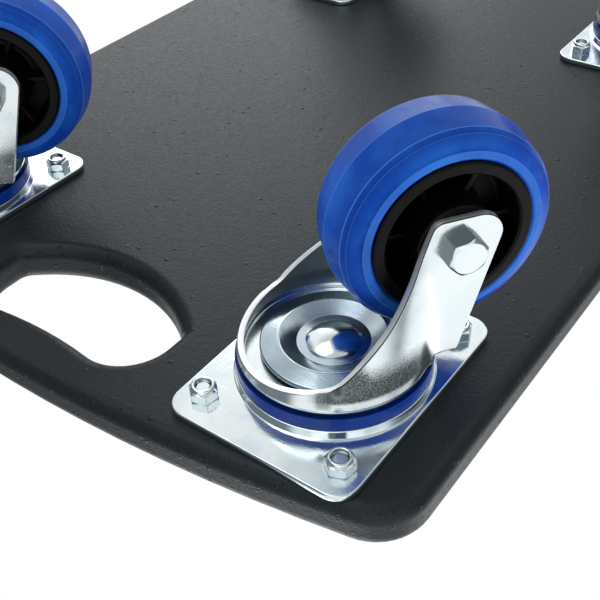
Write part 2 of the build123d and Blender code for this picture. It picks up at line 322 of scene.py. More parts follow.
def threaded(radius: float, start: float, end: float, pitch: float, count: int) -> Array:
    """Screw thread: the radius falls from its crest by a triangle wave that climbs one pitch a turn.

    Args:
        radius: crest radius.
        start: height where the thread starts.
        end: height where it ends.
        pitch: climb of one turn.
        count: spans around the turn.

    Returns:
        Grid of points, rows along the thread and columns around it.
    """
    rows = int(abs(end - start) / pitch * THREAD_ROWS) + 1
    height = np.linspace(start, end, rows)[:, None]
    angle = turns(count)[None, :]
    phase = np.mod(height / pitch - angle / FULL_TURN, 1.0)
    return turned(radius - THREAD_DEPTH * pitch * np.abs(2 * phase - 1), height, angle)


# Meshes


def weld(mesh: bpy.types.Mesh) -> None:
    """Merges points that meet, closes poles and turns all faces outwards.

    Args:
        mesh: the mesh that is changed.
    """
    work = bmesh.new()
    work.from_mesh(mesh)
    bmesh.ops.remove_doubles(work, verts=work.verts, dist=WELD_DISTANCE)
    bmesh.ops.dissolve_degenerate(work, dist=WELD_DISTANCE / 2, edges=work.edges)
    bmesh.ops.recalc_face_normals(work, faces=work.faces)
    work.to_mesh(mesh)
    work.free()


def shade(mesh: bpy.types.Mesh, sharp_degrees: float) -> None:
    """Smooth shading, with edges steeper than the given angle kept sharp.

    Args:
        mesh: the mesh that is changed.
        sharp_degrees: steepest edge that is still shaded smooth.
    """
    mesh.polygons.foreach_set("use_smooth", np.ones(len(mesh.polygons), bool))
    mesh.set_sharp_from_angle(angle=math.radians(sharp_degrees))
    mesh.update()


def make_piece(
    name: str,
    surface: Surface,
    material: bpy.types.Material,
    body: str,
    replaced: Sequence[str] = (),
    sharp_degrees: float = 40.0,
) -> None:
    """Makes a finished piece that rides on a body of the frame.

    Args:
        name: the piece's name.
        surface: its shape in millimetres, in place.
        material: its finish.
        body: body that it moves with.
        replaced: frame nodes that it stands for.
        sharp_degrees: steepest edge that is still shaded smooth.
    """
    mesh = bpy.data.meshes.new(name)
    mesh.from_pydata((surface.points * MM).tolist(), [], surface.quads.tolist())
    for mark, values in surface.marks.items():
        layer = mesh.attributes.new(mark, "FLOAT", "POINT")
        layer.data.foreach_set("value", np.ascontiguousarray(values, np.float32))
    weld(mesh)
    shade(mesh, sharp_degrees)
    mesh.materials.append(material)
    piece = bpy.data.objects.new(name, mesh)
    bpy.context.scene.collection.objects.link(piece)
    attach(piece, body)
    if replaced:
        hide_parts(*replaced)
    log.info("%s: %d faces on %s", name, len(mesh.polygons), body)


def dress(node: str, material: bpy.types.Material) -> None:
    """Gives a frame node that stays in view its finish.

    Args:
        node: the frame node's name.
        material: its finish.
    """
    part = frame["nodes"][node]
    part.data.materials.clear()
    part.data.materials.append(material)
    log.info("%s dressed in %s", node, material.name)


# Places


@dataclass(frozen=True)
class Levels:
    """Heights above the floor that the frame's nodes give, in millimetres."""

    load_face: float
    board_underside: float
    boss_face: float
    seal_lip: float
    crown_top: float
    cup_floor: float
    pin_top: float
    dome: float
    foot: float

    @classmethod
    def from_frame(cls) -> "Levels":
        """Reads the levels from the board and the first caster.

        Returns:
            The levels, the same for all casters.
        """
        caster = Corner.FRONT_LEFT.value
        boxes = {
            node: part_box(f"{caster}_{node}")
            for node in ("top_plate", "seal_ring", "fork", "race_cup", "king_pin")
        }
        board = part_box("board")
        return cls(
            load_face=board[1].z / MM,
            board_underside=board[0].z / MM,
            boss_face=boxes["top_plate"][0].z / MM,
            seal_lip=boxes["seal_ring"][0].z / MM,
            crown_top=boxes["fork"][1].z / MM,
            cup_floor=boxes["race_cup"][1].z / MM,
            pin_top=boxes["king_pin"][1].z / MM,
            dome=boxes["king_pin"][0].z / MM,
            foot=boxes["fork"][0].z / MM,
        )


@dataclass(frozen=True)
class CasterPlace:
    """Where one caster stands: its swivel axis, its trail direction and its axle."""

    corner: Corner
    x: float
    y: float
    turn: float
    trail: float
    axle: float

    @classmethod
    def from_frame(cls, corner: Corner) -> "CasterPlace":
        """Reads the place from the frame's two joints of that caster.

        Args:
            corner: which caster.

        Returns:
            The place in millimetres and radians.
        """
        spots = {joint["name"]: joint["pos_m"] for joint in frame["joints"]}
        swivel = np.array(spots[f"{corner.value}_swivel"]) / MM
        roll = np.array(spots[f"{corner.value}_roll"]) / MM
        reach = roll - swivel
        turn = math.atan2(reach[1], reach[0])
        trail = math.hypot(reach[0], reach[1])
        return cls(corner, swivel[0], swivel[1], turn, trail, roll[2])

    def node(self, name: str) -> str:
        """Name of one of this caster's frame nodes or pieces."""
        return f"{self.corner.value}_{name}"

    def fixed(self, points: Array) -> Array:
        """Moves points from the swivel axis to this corner, unturned."""
        return points + np.array([self.x, self.y, 0.0])

    def trailing(self, points: Array) -> Array:
        """Turns points so that +X trails this caster, then moves them to this corner."""
        return self.fixed(spun(self.turn)(points))

    def on_axle(self, points: Array) -> Array:
        """Lays points turned about +Z along this caster's axle, +Z towards the bolt's head.

        Args:
            points: points about +Z.

        Returns:
            The points in place.
        """
        across, up, along = points[:, 0], points[:, 1], points[:, 2]
        local = np.stack([self.trail + across, along, self.axle + up], axis=-1)
        return self.trailing(local)


# Shader building


class Sheet:
    """A node tree under construction, with short calls for adding and joining nodes."""

    def __init__(self, tree: bpy.types.NodeTree) -> None:
        """Takes over a tree."""
        self.tree = tree

    def put(self, socket: Socket, value: Value) -> None:
        """Joins an output socket to an input socket, or sets the input's own value.

        Args:
            socket: the input.
            value: an output socket or a plain value.
        """
        if isinstance(value, Socket):
            self.tree.links.new(value, socket)
        else:
            socket.default_value = value

    def add(self, kind: str, inputs: dict[str | int, Value] | None = None, **settings) -> bpy.types.Node:
        """Adds a node.

        Args:
            kind: the node's type name.
            inputs: values or output sockets for its inputs, by name or number.
            settings: the node's own properties.

        Returns:
            The new node.
        """
        node = self.tree.nodes.new(kind)
        for key, value in settings.items():
            setattr(node, key, value)
        for key, value in (inputs or {}).items():
            self.put(node.inputs[key], value)
        return node

    def math(self, operation: str, a: Value, b: Value = 0.0, c: Value = 0.0) -> Socket:
        """Output of a Math node over two or three values or sockets."""
        return self.add("ShaderNodeMath", {0: a, 1: b, 2: c}, operation=operation).outputs[0]

    def mix(self, share: Value, a: Value, b: Value) -> Socket:
        """Colour a where share is 0 and colour b where it is 1."""
        node = self.add("ShaderNodeMix", {0: share, 6: a, 7: b}, data_type="RGBA")
        return node.outputs[2]

    def span(
        self, value: Value, low: Value, high: Value, to_low: float = 0.0, to_high: float = 1.0
    ) -> Socket:
        """Smooth clamped change from one range to another.

        Args:
            value: what is read.
            low: value that gives to_low.
            high: value that gives to_high.
            to_low: result at low and outside it.
            to_high: result at high and outside it.

        Returns:
            The result.
        """
        ends = {"Value": value, "From Min": low, "From Max": high, "To Min": to_low, "To Max": to_high}
        node = self.add("ShaderNodeMapRange", ends, interpolation_type="SMOOTHSTEP")
        return node.outputs["Result"]

    def towards(self, ray: Socket, way: Triple) -> Socket:
        """How far a ray points the given way, from -1 to 1."""
        node = self.add("ShaderNodeVectorMath", {0: ray, 1: way}, operation="DOT_PRODUCT")
        return node.outputs["Value"]


def rgba(colour: Colour) -> tuple[float, float, float, float]:
    """A colour with full alpha."""
    return (*colour, 1.0)


class Effect(Enum):
    """Surface effects that several finishes share, each a shader node group built once."""

    MOTTLE = "surface_mottle"
    SPECKLE = "sparse_speckle"
    SCRATCH = "fine_scratches"

    def tree(self) -> bpy.types.NodeTree:
        """The effect's node group, built on first use."""
        made = bpy.data.node_groups.get(self.value)
        return made or EFFECT_BUILDERS[self](self.value)


def new_group(name: str, inputs: dict[str, float]) -> tuple[Sheet, bpy.types.Node, bpy.types.Node]:
    """Starts a node group that reads a position and numbers and puts out one mask.

    Args:
        name: the group's name.
        inputs: number inputs with their defaults.

    Returns:
        The sheet, the group's input node and its output node.
    """
    tree = bpy.data.node_groups.new(name, "ShaderNodeTree")
    tree.interface.new_socket("Position", in_out="INPUT", socket_type="NodeSocketVector")
    for key, value in inputs.items():
        socket = tree.interface.new_socket(key, in_out="INPUT", socket_type="NodeSocketFloat")
        socket.default_value = value
    tree.interface.new_socket("Mask", in_out="OUTPUT", socket_type="NodeSocketFloat")
    sheet = Sheet(tree)
    return sheet, sheet.add("NodeGroupInput"), sheet.add("NodeGroupOutput")


def build_mottle(name: str) -> bpy.types.NodeTree:
    """Cloudy mask: layered noise spread between two levels.

    Args:
        name: the group's name.

    Returns:
        The node group.
    """
    sheet, start, end = new_group(name, {"Scale": 60.0, "Low": 0.35, "High": 0.65})
    given = start.outputs
    noise = sheet.add(
        "ShaderNodeTexNoise",
        {"Vector": given["Position"], "Scale": given["Scale"], "Detail": 5.0},
    )
    sheet.put(end.inputs["Mask"], sheet.span(noise.outputs["Fac"], given["Low"], given["High"]))
    return sheet.tree


def build_speckle(name: str) -> bpy.types.NodeTree:
    """Sparse round spots: cells of a Voronoi pattern, of which a share by chance is kept.

    Args:
        name: the group's name.

    Returns:
        The node group.
    """
    sheet, start, end = new_group(name, {"Scale": 220.0, "Size": 0.22, "Share": 0.5})
    given = start.outputs
    cells = sheet.add("ShaderNodeTexVoronoi", {"Vector": given["Position"], "Scale": given["Scale"]})
    spot = sheet.span(cells.outputs["Distance"], given["Size"], 0.0)
    chance = sheet.add("ShaderNodeSeparateColor", {"Color": cells.outputs["Color"]}).outputs
    kept = sheet.math("LESS_THAN", chance["Red"], given["Share"])
    sized = sheet.math("MULTIPLY", spot, chance["Green"])
    sheet.put(end.inputs["Mask"], sheet.math("MULTIPLY", sized, kept))
    return sheet.tree


def build_scratch(name: str) -> bpy.types.NodeTree:
    """Fine drawn lines: noise stretched along one direction, cut to its narrow crests.

    Args:
        name: the group's name.

    Returns:
        The node group.
    """
    sheet, start, end = new_group(name, {"Scale": 300.0, "Turn": 0.6, "Narrow": 0.62})
    given = start.outputs
    turn = sheet.add("ShaderNodeCombineXYZ", {"Z": given["Turn"], "Y": given["Turn"]})
    laid = sheet.add(
        "ShaderNodeMapping",
        {"Vector": given["Position"], "Rotation": turn.outputs["Vector"], "Scale": (0.04, 1.0, 1.0)},
    )
    noise = sheet.add(
        "ShaderNodeTexNoise",
        {"Vector": laid.outputs["Vector"], "Scale": given["Scale"], "Detail": 3.0},
    )
    sheet.put(end.inputs["Mask"], sheet.span(noise.outputs["Fac"], given["Narrow"], 0.8))
    return sheet.tree


EFFECT_BUILDERS: dict[Effect, Callable[[str], bpy.types.NodeTree]] = {
    Effect.MOTTLE: build_mottle,
    Effect.SPECKLE: build_speckle,
    Effect.SCRATCH: build_scratch,
}


class MaterialSheet(Sheet):
    """A material under construction around its Principled shader."""

    def __init__(self, name: str) -> None:
        """Starts a material of that name.

        Args:
            name: the material's name.
        """
        self.material = bpy.data.materials.new(name)
        self.material.use_nodes = True
        super().__init__(self.material.node_tree)
        self.shader = self.tree.nodes["Principled BSDF"]
        self.place = self.add("ShaderNodeTexCoord").outputs["Object"]

    def effect(self, effect: Effect, **inputs: Value) -> Socket:
        """Mask of a shared effect laid over the object."""
        node = self.add("ShaderNodeGroup", {"Position": self.place, **inputs}, node_tree=effect.tree())
        return node.outputs["Mask"]

    def mark(self, name: str) -> Socket:
        """A mark that the surface carries, zero where it carries none."""
        return self.add("ShaderNodeAttribute", attribute_name=name).outputs["Fac"]

    def give(self, **inputs: Value) -> None:
        """Sets or joins inputs of the shader, named with underscores for spaces."""
        for key, value in inputs.items():
            self.put(self.shader.inputs[key.replace("_", " ")], value)

    def bump(self, height: Socket, depth: float, strength: float) -> None:
        """Joins a height to the shader's normal.

        Args:
            height: mask that stands for the height.
            depth: height of a full mask, in metres.
            strength: how much of the bump shows.
        """
        bump = self.add("ShaderNodeBump", {"Height": height, "Distance": depth, "Strength": strength})
        self.give(Normal=bump.outputs["Normal"])


# Finishes


@dataclass(frozen=True)
class CoatedBoard:
    """Charcoal structured paint: fine orange peel, stray pimples, and a rubbed skin on the rounded rims.

    Middle and flat_from are the level of the board's middle and the distance of its flat faces
    from there, in metres. The heights are shares of the bump's depth.
    """

    middle: float
    flat_from: float
    colour: Colour = (0.0070, 0.0090, 0.0096)
    pale: Colour = (0.0100, 0.0122, 0.0130)
    low_roughness: float = 0.38
    high_roughness: float = 0.48
    gloss: float = 0.32
    sheen_tint: Colour = (0.76, 0.90, 1.0)
    rim_fade: float = 0.0012
    peel_height: float = 0.15
    grit_height: float = 0.28
    pimple_height: float = 1.4
    rub_height: float = 0.08
    grain_height: float = 1.5
    bump_depth: float = 0.0006
    bump_strength: float = 0.8

    def material(self) -> bpy.types.Material:
        """Builds the paint's material.

        Returns:
            The new material.
        """
        sheet = MaterialSheet("charcoal_structured_paint")
        peel = sheet.effect(Effect.MOTTLE, Scale=700.0, Low=0.2, High=0.8)
        pimples = sheet.effect(Effect.SPECKLE, Scale=150.0, Size=0.18, Share=0.6)
        grit = sheet.effect(Effect.SPECKLE, Scale=420.0, Size=0.3, Share=0.3)
        rubs = sheet.effect(Effect.SCRATCH, Scale=500.0, Turn=0.9, Narrow=0.62)
        height = sheet.add("ShaderNodeSeparateXYZ", {"Vector": sheet.place}).outputs["Z"]
        off_middle = sheet.math("ABSOLUTE", sheet.math("SUBTRACT", height, self.middle))
        rim = sheet.span(off_middle, self.flat_from, self.flat_from - self.rim_fade)
        sheet.give(Base_Color=sheet.mix(peel, rgba(self.colour), rgba(self.pale)))
        rough = sheet.span(peel, 0.0, 1.0, self.low_roughness, self.high_roughness)
        sheet.give(Roughness=rough, Specular_IOR_Level=self.gloss, Specular_Tint=rgba(self.sheen_tint))
        raised = sheet.math("MULTIPLY", peel, self.peel_height)
        raised = sheet.math("MULTIPLY_ADD", grit, self.grit_height, raised)
        raised = sheet.math("MULTIPLY_ADD", pimples, self.pimple_height, raised)
        grains = sheet.effect(Effect.SPECKLE, Scale=340.0, Size=0.3, Share=0.45)
        rubbed = sheet.math("MULTIPLY", grains, self.grain_height)
        rubbed = sheet.math("MULTIPLY_ADD", rubs, self.rub_height, rubbed)
        raised = sheet.math("MULTIPLY_ADD", rubbed, rim, raised)
        sheet.bump(raised, self.bump_depth, self.bump_strength)
        return sheet.material


@dataclass(frozen=True)
class BrightZinc:
    """Bright zinc plate on steel: near-mirror, faintly blue, with mottled haze and drawn scratches.

    Painted dark flanks put a painted dark reflection on the sides of hexagons and painted shade in
    the bores of nuts. A galled finish puts painted shade on the inner face, darkens the press
    dents, adds dark grain where the press dragged, sparse at the zone's border and dense inside it,
    gives the rougher sheared edge and the dents' rims a painted highlight, and lays a painted shade
    line along the outer round of the free edge.
    """

    name: str = "bright_zinc_plate"
    colour: Colour = (0.80, 0.865, 0.88)
    hazed: Colour = (0.70, 0.785, 0.81)
    low_roughness: float = 0.13
    high_roughness: float = 0.27
    galled: bool = False
    dull_flanks: bool = False
    line_roughness: float = 0.12
    grain_height: float = 0.35
    bump_depth: float = 0.00003
    bump_strength: float = 0.5
    # Painted dark reflection on the sides of hexagons and painted shade in the bores of nuts.
    flank_colour: Colour = (0.10, 0.135, 0.145)
    flank_share: float = 0.85
    # Painted shade on the inner face of the fork's sheet.
    inner_colour: Colour = (0.13, 0.175, 0.19)
    inner_share: float = 0.75
    zone_colour: Colour = (0.10, 0.118, 0.118)
    zone_share: float = 0.78
    zone_roughness: float = 0.18
    pinched_colour: Colour = (0.10, 0.125, 0.13)
    gall_colour: Colour = (0.03, 0.036, 0.036)
    gall_share: float = 0.85
    gall_border: float = 0.15
    sparse_level: float = 0.62
    dense_drop: float = 0.22
    level_width: float = 0.15
    # Painted highlight on the rougher sheared edge and on the dents' rims.
    sheared_colour: Colour = (0.95, 0.97, 0.98)
    sheared_roughness: float = 0.3
    # Painted shade line along the outer round of the free edge.
    burr_colour: Colour = (0.04, 0.05, 0.055)

    def material(self) -> bpy.types.Material:
        """Builds the plating's material.

        Returns:
            The new material.
        """
        sheet = MaterialSheet(self.name)
        sheet.give(Metallic=1.0)
        clouds = sheet.effect(Effect.MOTTLE, Scale=45.0, Low=0.35, High=0.7)
        grain = sheet.effect(Effect.MOTTLE, Scale=1500.0, Low=0.3, High=0.7)
        lines = sheet.effect(Effect.SCRATCH, Scale=900.0, Turn=0.6, Narrow=0.6)
        tint = sheet.mix(clouds, rgba(self.colour), rgba(self.hazed))
        rough = sheet.span(clouds, 0.0, 1.0, self.low_roughness, self.high_roughness)
        rough = sheet.math("MULTIPLY_ADD", lines, self.line_roughness, rough)
        # Painted dark reflection on hexagon sides and painted shade in nut bores, from the flanks mark.
        if self.dull_flanks:
            flank_shade = sheet.math("MULTIPLY", sheet.mark("flanks"), self.flank_share)
            tint = sheet.mix(flank_shade, tint, rgba(self.flank_colour))
        if self.galled:
            tint, rough = self.press_marks(sheet, tint, rough)
        sheet.give(Base_Color=tint, Roughness=rough)
        height = sheet.math("MULTIPLY_ADD", grain, self.grain_height, lines)
        sheet.bump(height, self.bump_depth, self.bump_strength)
        return sheet.material

    def press_marks(self, sheet: MaterialSheet, tint: Socket, rough: Socket) -> tuple[Socket, Socket]:
        """Adds what the press left on a galled sheet, with painted shade and painted highlights.

        Args:
            sheet: the material under construction.
            tint: colour of the plating.
            rough: roughness of the plating.

        Returns:
            Colour and roughness with the marks.
        """
        zone, inner, sheared = (sheet.mark(name) for name in ("galling", "inner", "sheared"))
        low = sheet.math("MULTIPLY_ADD", zone, -self.dense_drop, self.sparse_level)
        high = sheet.math("ADD", low, self.level_width)
        spots = sheet.effect(Effect.MOTTLE, Scale=2300.0, Low=low, High=high)
        shown = sheet.span(zone, 0.0, self.gall_border, 0.0, self.gall_share)
        layers = (
            # Painted shade on the inner face.
            (sheet.math("MULTIPLY", inner, self.inner_share), self.inner_colour),
            (sheet.math("MULTIPLY", zone, self.zone_share), self.zone_colour),
            (sheet.mark("pinched"), self.pinched_colour),
            (sheet.math("MULTIPLY", spots, shown), self.gall_colour),
            # Rougher sheared edge and dents' rims, with a painted highlight.
            (sheared, self.sheared_colour),
            # Painted shade line along the outer round of the free edge.
            (sheet.mark("burr"), self.burr_colour),
        )
        for share, colour in layers:
            tint = sheet.mix(share, tint, rgba(colour))
        rubbed = sheet.math("MAXIMUM", zone, inner)
        rough = sheet.math("MULTIPLY_ADD", rubbed, self.zone_roughness, rough)
        return tint, sheet.math("MULTIPLY_ADD", sheared, self.sheared_roughness, rough)


@dataclass(frozen=True)
class BlueRubber:
    """Royal blue elastic rubber: satin skin with clouding, stains, scuffs, painted shade and highlights.

    Light that it bounces onto the floor is held back, since the floor lets light in from below.
    """

    colour: Colour = (0.005, 0.060, 0.43)
    pale: Colour = (0.012, 0.115, 0.57)
    # Colour of the stains and of the painted shade.
    soiled: Colour = (0.004, 0.028, 0.23)
    # Painted highlight on the raised edges of the tyre.
    worn: Colour = (0.075, 0.26, 0.74)
    bounced: Colour = (0.015, 0.02, 0.035)
    sheen_tint: Colour = (0.30, 0.76, 1.0)
    low_roughness: float = 0.24
    high_roughness: float = 0.38
    gloss: float = 0.17
    stain_share: float = 0.8
    scuff_roughness: float = 0.15
    bump_depth: float = 0.00005
    bump_strength: float = 0.35

    def material(self) -> bpy.types.Material:
        """Builds the rubber's material.

        Returns:
            The new material.
        """
        sheet = MaterialSheet("royal_blue_rubber")
        clouds = sheet.effect(Effect.MOTTLE, Scale=70.0, Low=0.35, High=0.75)
        grain = sheet.effect(Effect.MOTTLE, Scale=1100.0, Low=0.2, High=0.8)
        scuffs = sheet.effect(Effect.SCRATCH, Scale=260.0, Turn=1.1, Narrow=0.64)
        rough = sheet.span(clouds, 0.0, 1.0, self.low_roughness, self.high_roughness)
        stains = sheet.effect(Effect.MOTTLE, Scale=34.0, Low=0.48, High=0.76)
        tint = sheet.mix(clouds, rgba(self.colour), rgba(self.pale))
        stained = sheet.math("MULTIPLY", stains, self.stain_share)
        # Stains, and painted shade most in the step at the shoulder.
        tint = sheet.mix(sheet.math("MAXIMUM", stained, sheet.mark("grime")), tint, rgba(self.soiled))
        # Painted highlights on the raised edges.
        tint = sheet.mix(sheet.mark("edges"), tint, rgba(self.worn))
        bounce = sheet.add("ShaderNodeLightPath").outputs["Is Diffuse Ray"]
        sheet.give(
            Base_Color=sheet.mix(bounce, tint, rgba(self.bounced)),
            Roughness=sheet.math("MULTIPLY_ADD", scuffs, self.scuff_roughness, rough),
            Specular_IOR_Level=self.gloss,
            Specular_Tint=rgba(self.sheen_tint),
        )
        sheet.bump(grain, self.bump_depth, self.bump_strength)
        return sheet.material


@dataclass(frozen=True)
class MouldedPlastic:
    """Moulded plastic: one colour with a cloudy gloss, flow marks and a fine skin."""

    name: str
    colour: Colour
    pale: Colour
    low_roughness: float
    high_roughness: float
    gloss: float = 0.5
    flow_roughness: float = 0.1
    bump_depth: float = 0.00008
    bump_strength: float = 0.5

    def material(self) -> bpy.types.Material:
        """Builds the plastic's material.

        Returns:
            The new material.
        """
        sheet = MaterialSheet(self.name)
        clouds = sheet.effect(Effect.MOTTLE, Scale=90.0, Low=0.3, High=0.75)
        skin = sheet.effect(Effect.MOTTLE, Scale=1300.0, Low=0.25, High=0.75)
        flow = sheet.effect(Effect.SCRATCH, Scale=200.0, Turn=0.3, Narrow=0.6)
        rough = sheet.span(clouds, 0.0, 1.0, self.low_roughness, self.high_roughness)
        sheet.give(
            Base_Color=sheet.mix(clouds, rgba(self.colour), rgba(self.pale)),
            Roughness=sheet.math("MULTIPLY_ADD", flow, self.flow_roughness, rough),
            Specular_IOR_Level=self.gloss,
        )
        sheet.bump(skin, self.bump_depth, self.bump_strength)
        return sheet.material


@dataclass(frozen=True)
class Finishes:
    """All finishes of the object, built once."""

    paint: bpy.types.Material
    plate_zinc: bpy.types.Material
    zinc: bpy.types.Material
    fork_zinc: bpy.types.Material
    cup_zinc: bpy.types.Material
    bolt_zinc: bpy.types.Material
    ball: bpy.types.Material
    rubber: bpy.types.Material
    seal: bpy.types.Material
    rim: bpy.types.Material
    cage: bpy.types.Material

    @classmethod
    def built(cls, levels: Levels) -> "Finishes":
        """Builds every finish.

        Args:
            levels: heights of the board's two faces.

        Returns:
            The set of materials.
        """
        middle = (levels.load_face + levels.board_underside) / 2 * MM
        half = (levels.load_face - levels.board_underside) / 2 * MM
        return cls(
            paint=CoatedBoard(middle, half - RIM_MARGIN).material(),
            plate_zinc=BrightZinc(
                name="bright_zinc_top_plate",
                colour=(0.86, 0.925, 0.935),
                hazed=(0.64, 0.735, 0.775),
                low_roughness=0.08,
                high_roughness=0.19,
            ).material(),
            zinc=BrightZinc().material(),
            fork_zinc=BrightZinc(name="bright_zinc_pressed_fork", galled=True).material(),
            # Darker copy of the same zinc: painted shade on the race cup.
            cup_zinc=BrightZinc(
                name="bright_zinc_race_cup",
                colour=(0.50, 0.585, 0.635),
                hazed=(0.33, 0.42, 0.49),
            ).material(),
            # Fastener zinc with a painted dark reflection on hexagon sides and painted shade in nut bores.
            bolt_zinc=BrightZinc(
                name="bright_zinc_fastener",
                high_roughness=0.24,
                dull_flanks=True,
            ).material(),
            ball=BrightZinc(
                name="polished_ball_steel",
                colour=(0.62, 0.63, 0.65),
                hazed=(0.5, 0.51, 0.53),
                low_roughness=0.06,
                high_roughness=0.12,
            ).material(),
            rubber=BlueRubber().material(),
            seal=MouldedPlastic(
                name="blue_seal_plastic",
                colour=(0.003, 0.030, 0.23),
                pale=(0.005, 0.040, 0.28),
                low_roughness=0.2,
                high_roughness=0.32,
                gloss=0.25,
            ).material(),
            rim=MouldedPlastic(
                name="black_rim_plastic",
                colour=(0.0015, 0.0017, 0.0017),
                pale=(0.0026, 0.0028, 0.0028),
                low_roughness=0.34,
                high_roughness=0.5,
                gloss=0.12,
            ).material(),
            cage=MouldedPlastic(
                name="bearing_cage_plastic",
                colour=(0.42, 0.40, 0.34),
                pale=(0.5, 0.48, 0.42),
                low_roughness=0.4,
                high_roughness=0.5,
            ).material(),
        )


# Sub-assemblies


@dataclass(frozen=True)
class TopPlate:
    """Pressed plate: a rounded rectangle with a round boss, hollow on the board side."""

    levels: Levels
    thickness: float = PLATE_THICKNESS
    half_width: float = 40.0
    half_length: float = 52.5
    corner: float = 9.0
    boss_radius: float = 37.1
    foot_radius: float = 37.7
    boss_round: float = 0.5
    foot_round: float = 0.4
    hollow_wall: float = 3.5
    pin_hole: float = 6.05
    hole_round: float = 0.4
    run_out: float = 2.0
    edge: float = 0.7
    edge_hold: float = 0.12
    edge_gap: float = 0.2
    count: int = 288

    def outline(self, angle: Array, inset: float) -> Array:
        """Radius of the rounded rectangle, drawn in by inset, at each angle.

        A ray meets a straight side at half size over cosine, or else the corner's arc.

        Args:
            angle: angles in radians.
            inset: how far the outline is drawn in.

        Returns:
            The radius at each angle.
        """
        width, length = self.half_width - inset, self.half_length - inset
        corner = self.corner - inset
        c, s = np.abs(np.cos(angle)), np.abs(np.sin(angle))
        straight = np.minimum(width / np.maximum(c, TINY), length / np.maximum(s, TINY))
        centre_x, centre_y = width - corner, length - corner
        along = centre_x * c + centre_y * s
        off = centre_x**2 + centre_y**2 - along**2
        arc = along + np.sqrt(np.maximum(corner**2 - off, 0.0))
        in_corner = (straight * c > centre_x) & (straight * s > centre_y)
        return np.where(in_corner, arc, straight)

    def surface(self) -> Surface:
        """The plate about its swivel axis, in rows from the pin hole over the boss to the rim and back.

        The run-out past the boss's foot only gives the foot's round its direction.

        Returns:
            The plate's closed surface.
        """
        back, boss_face = self.levels.board_underside, self.levels.boss_face
        face = back - self.thickness
        drop = face - boss_face
        angle = turns(self.count)[None, :]
        boss = held(
            rounded(
                [
                    (self.pin_hole, face),
                    (self.pin_hole, boss_face, self.hole_round),
                    (self.boss_radius, boss_face, self.boss_round),
                    (self.foot_radius, face, self.foot_round),
                    (self.foot_radius + self.run_out, face),
                ],
                closed=False,
            )[:-1]
        )
        hollow = np.array(
            [
                (self.foot_radius - self.hollow_wall, back),
                (self.boss_radius - self.hollow_wall, back - drop),
                (self.pin_hole, back - drop),
            ]
        )
        inner = np.minimum(boss[:, 0:1] + 0 * angle, self.outline(angle, self.edge) - self.edge_gap)
        bend = np.linspace(0, math.pi / 2, 5)
        insets = np.concatenate([[self.edge + self.edge_hold], self.edge * (1 - np.sin(bend))])
        lift = np.concatenate([[0.0], self.edge * (1 - np.cos(bend))])[:, None]
        rim = np.concatenate([self.outline(angle, float(inset)) for inset in insets])
        radius = np.concatenate([inner, rim, rim[::-1], hollow[:, 0:1] + 0 * angle])
        level = np.concatenate([boss[:, 1:2], face + lift, back - lift[::-1], hollow[:, 1:2]])
        return grid(turned(radius, level, angle), wrap_rows=True, wrap_columns=True)

    def build(self, place: CasterPlace, finishes: Finishes) -> None:
        """Makes and dresses the plate of one caster.

        Args:
            place: the caster that it belongs to.
            finishes: the set of materials.
        """
        surface = self.surface().moved(place.fixed)
        name = place.node("pressed_plate")
        make_piece(name, surface, finishes.plate_zinc, "board", [place.node("top_plate")])


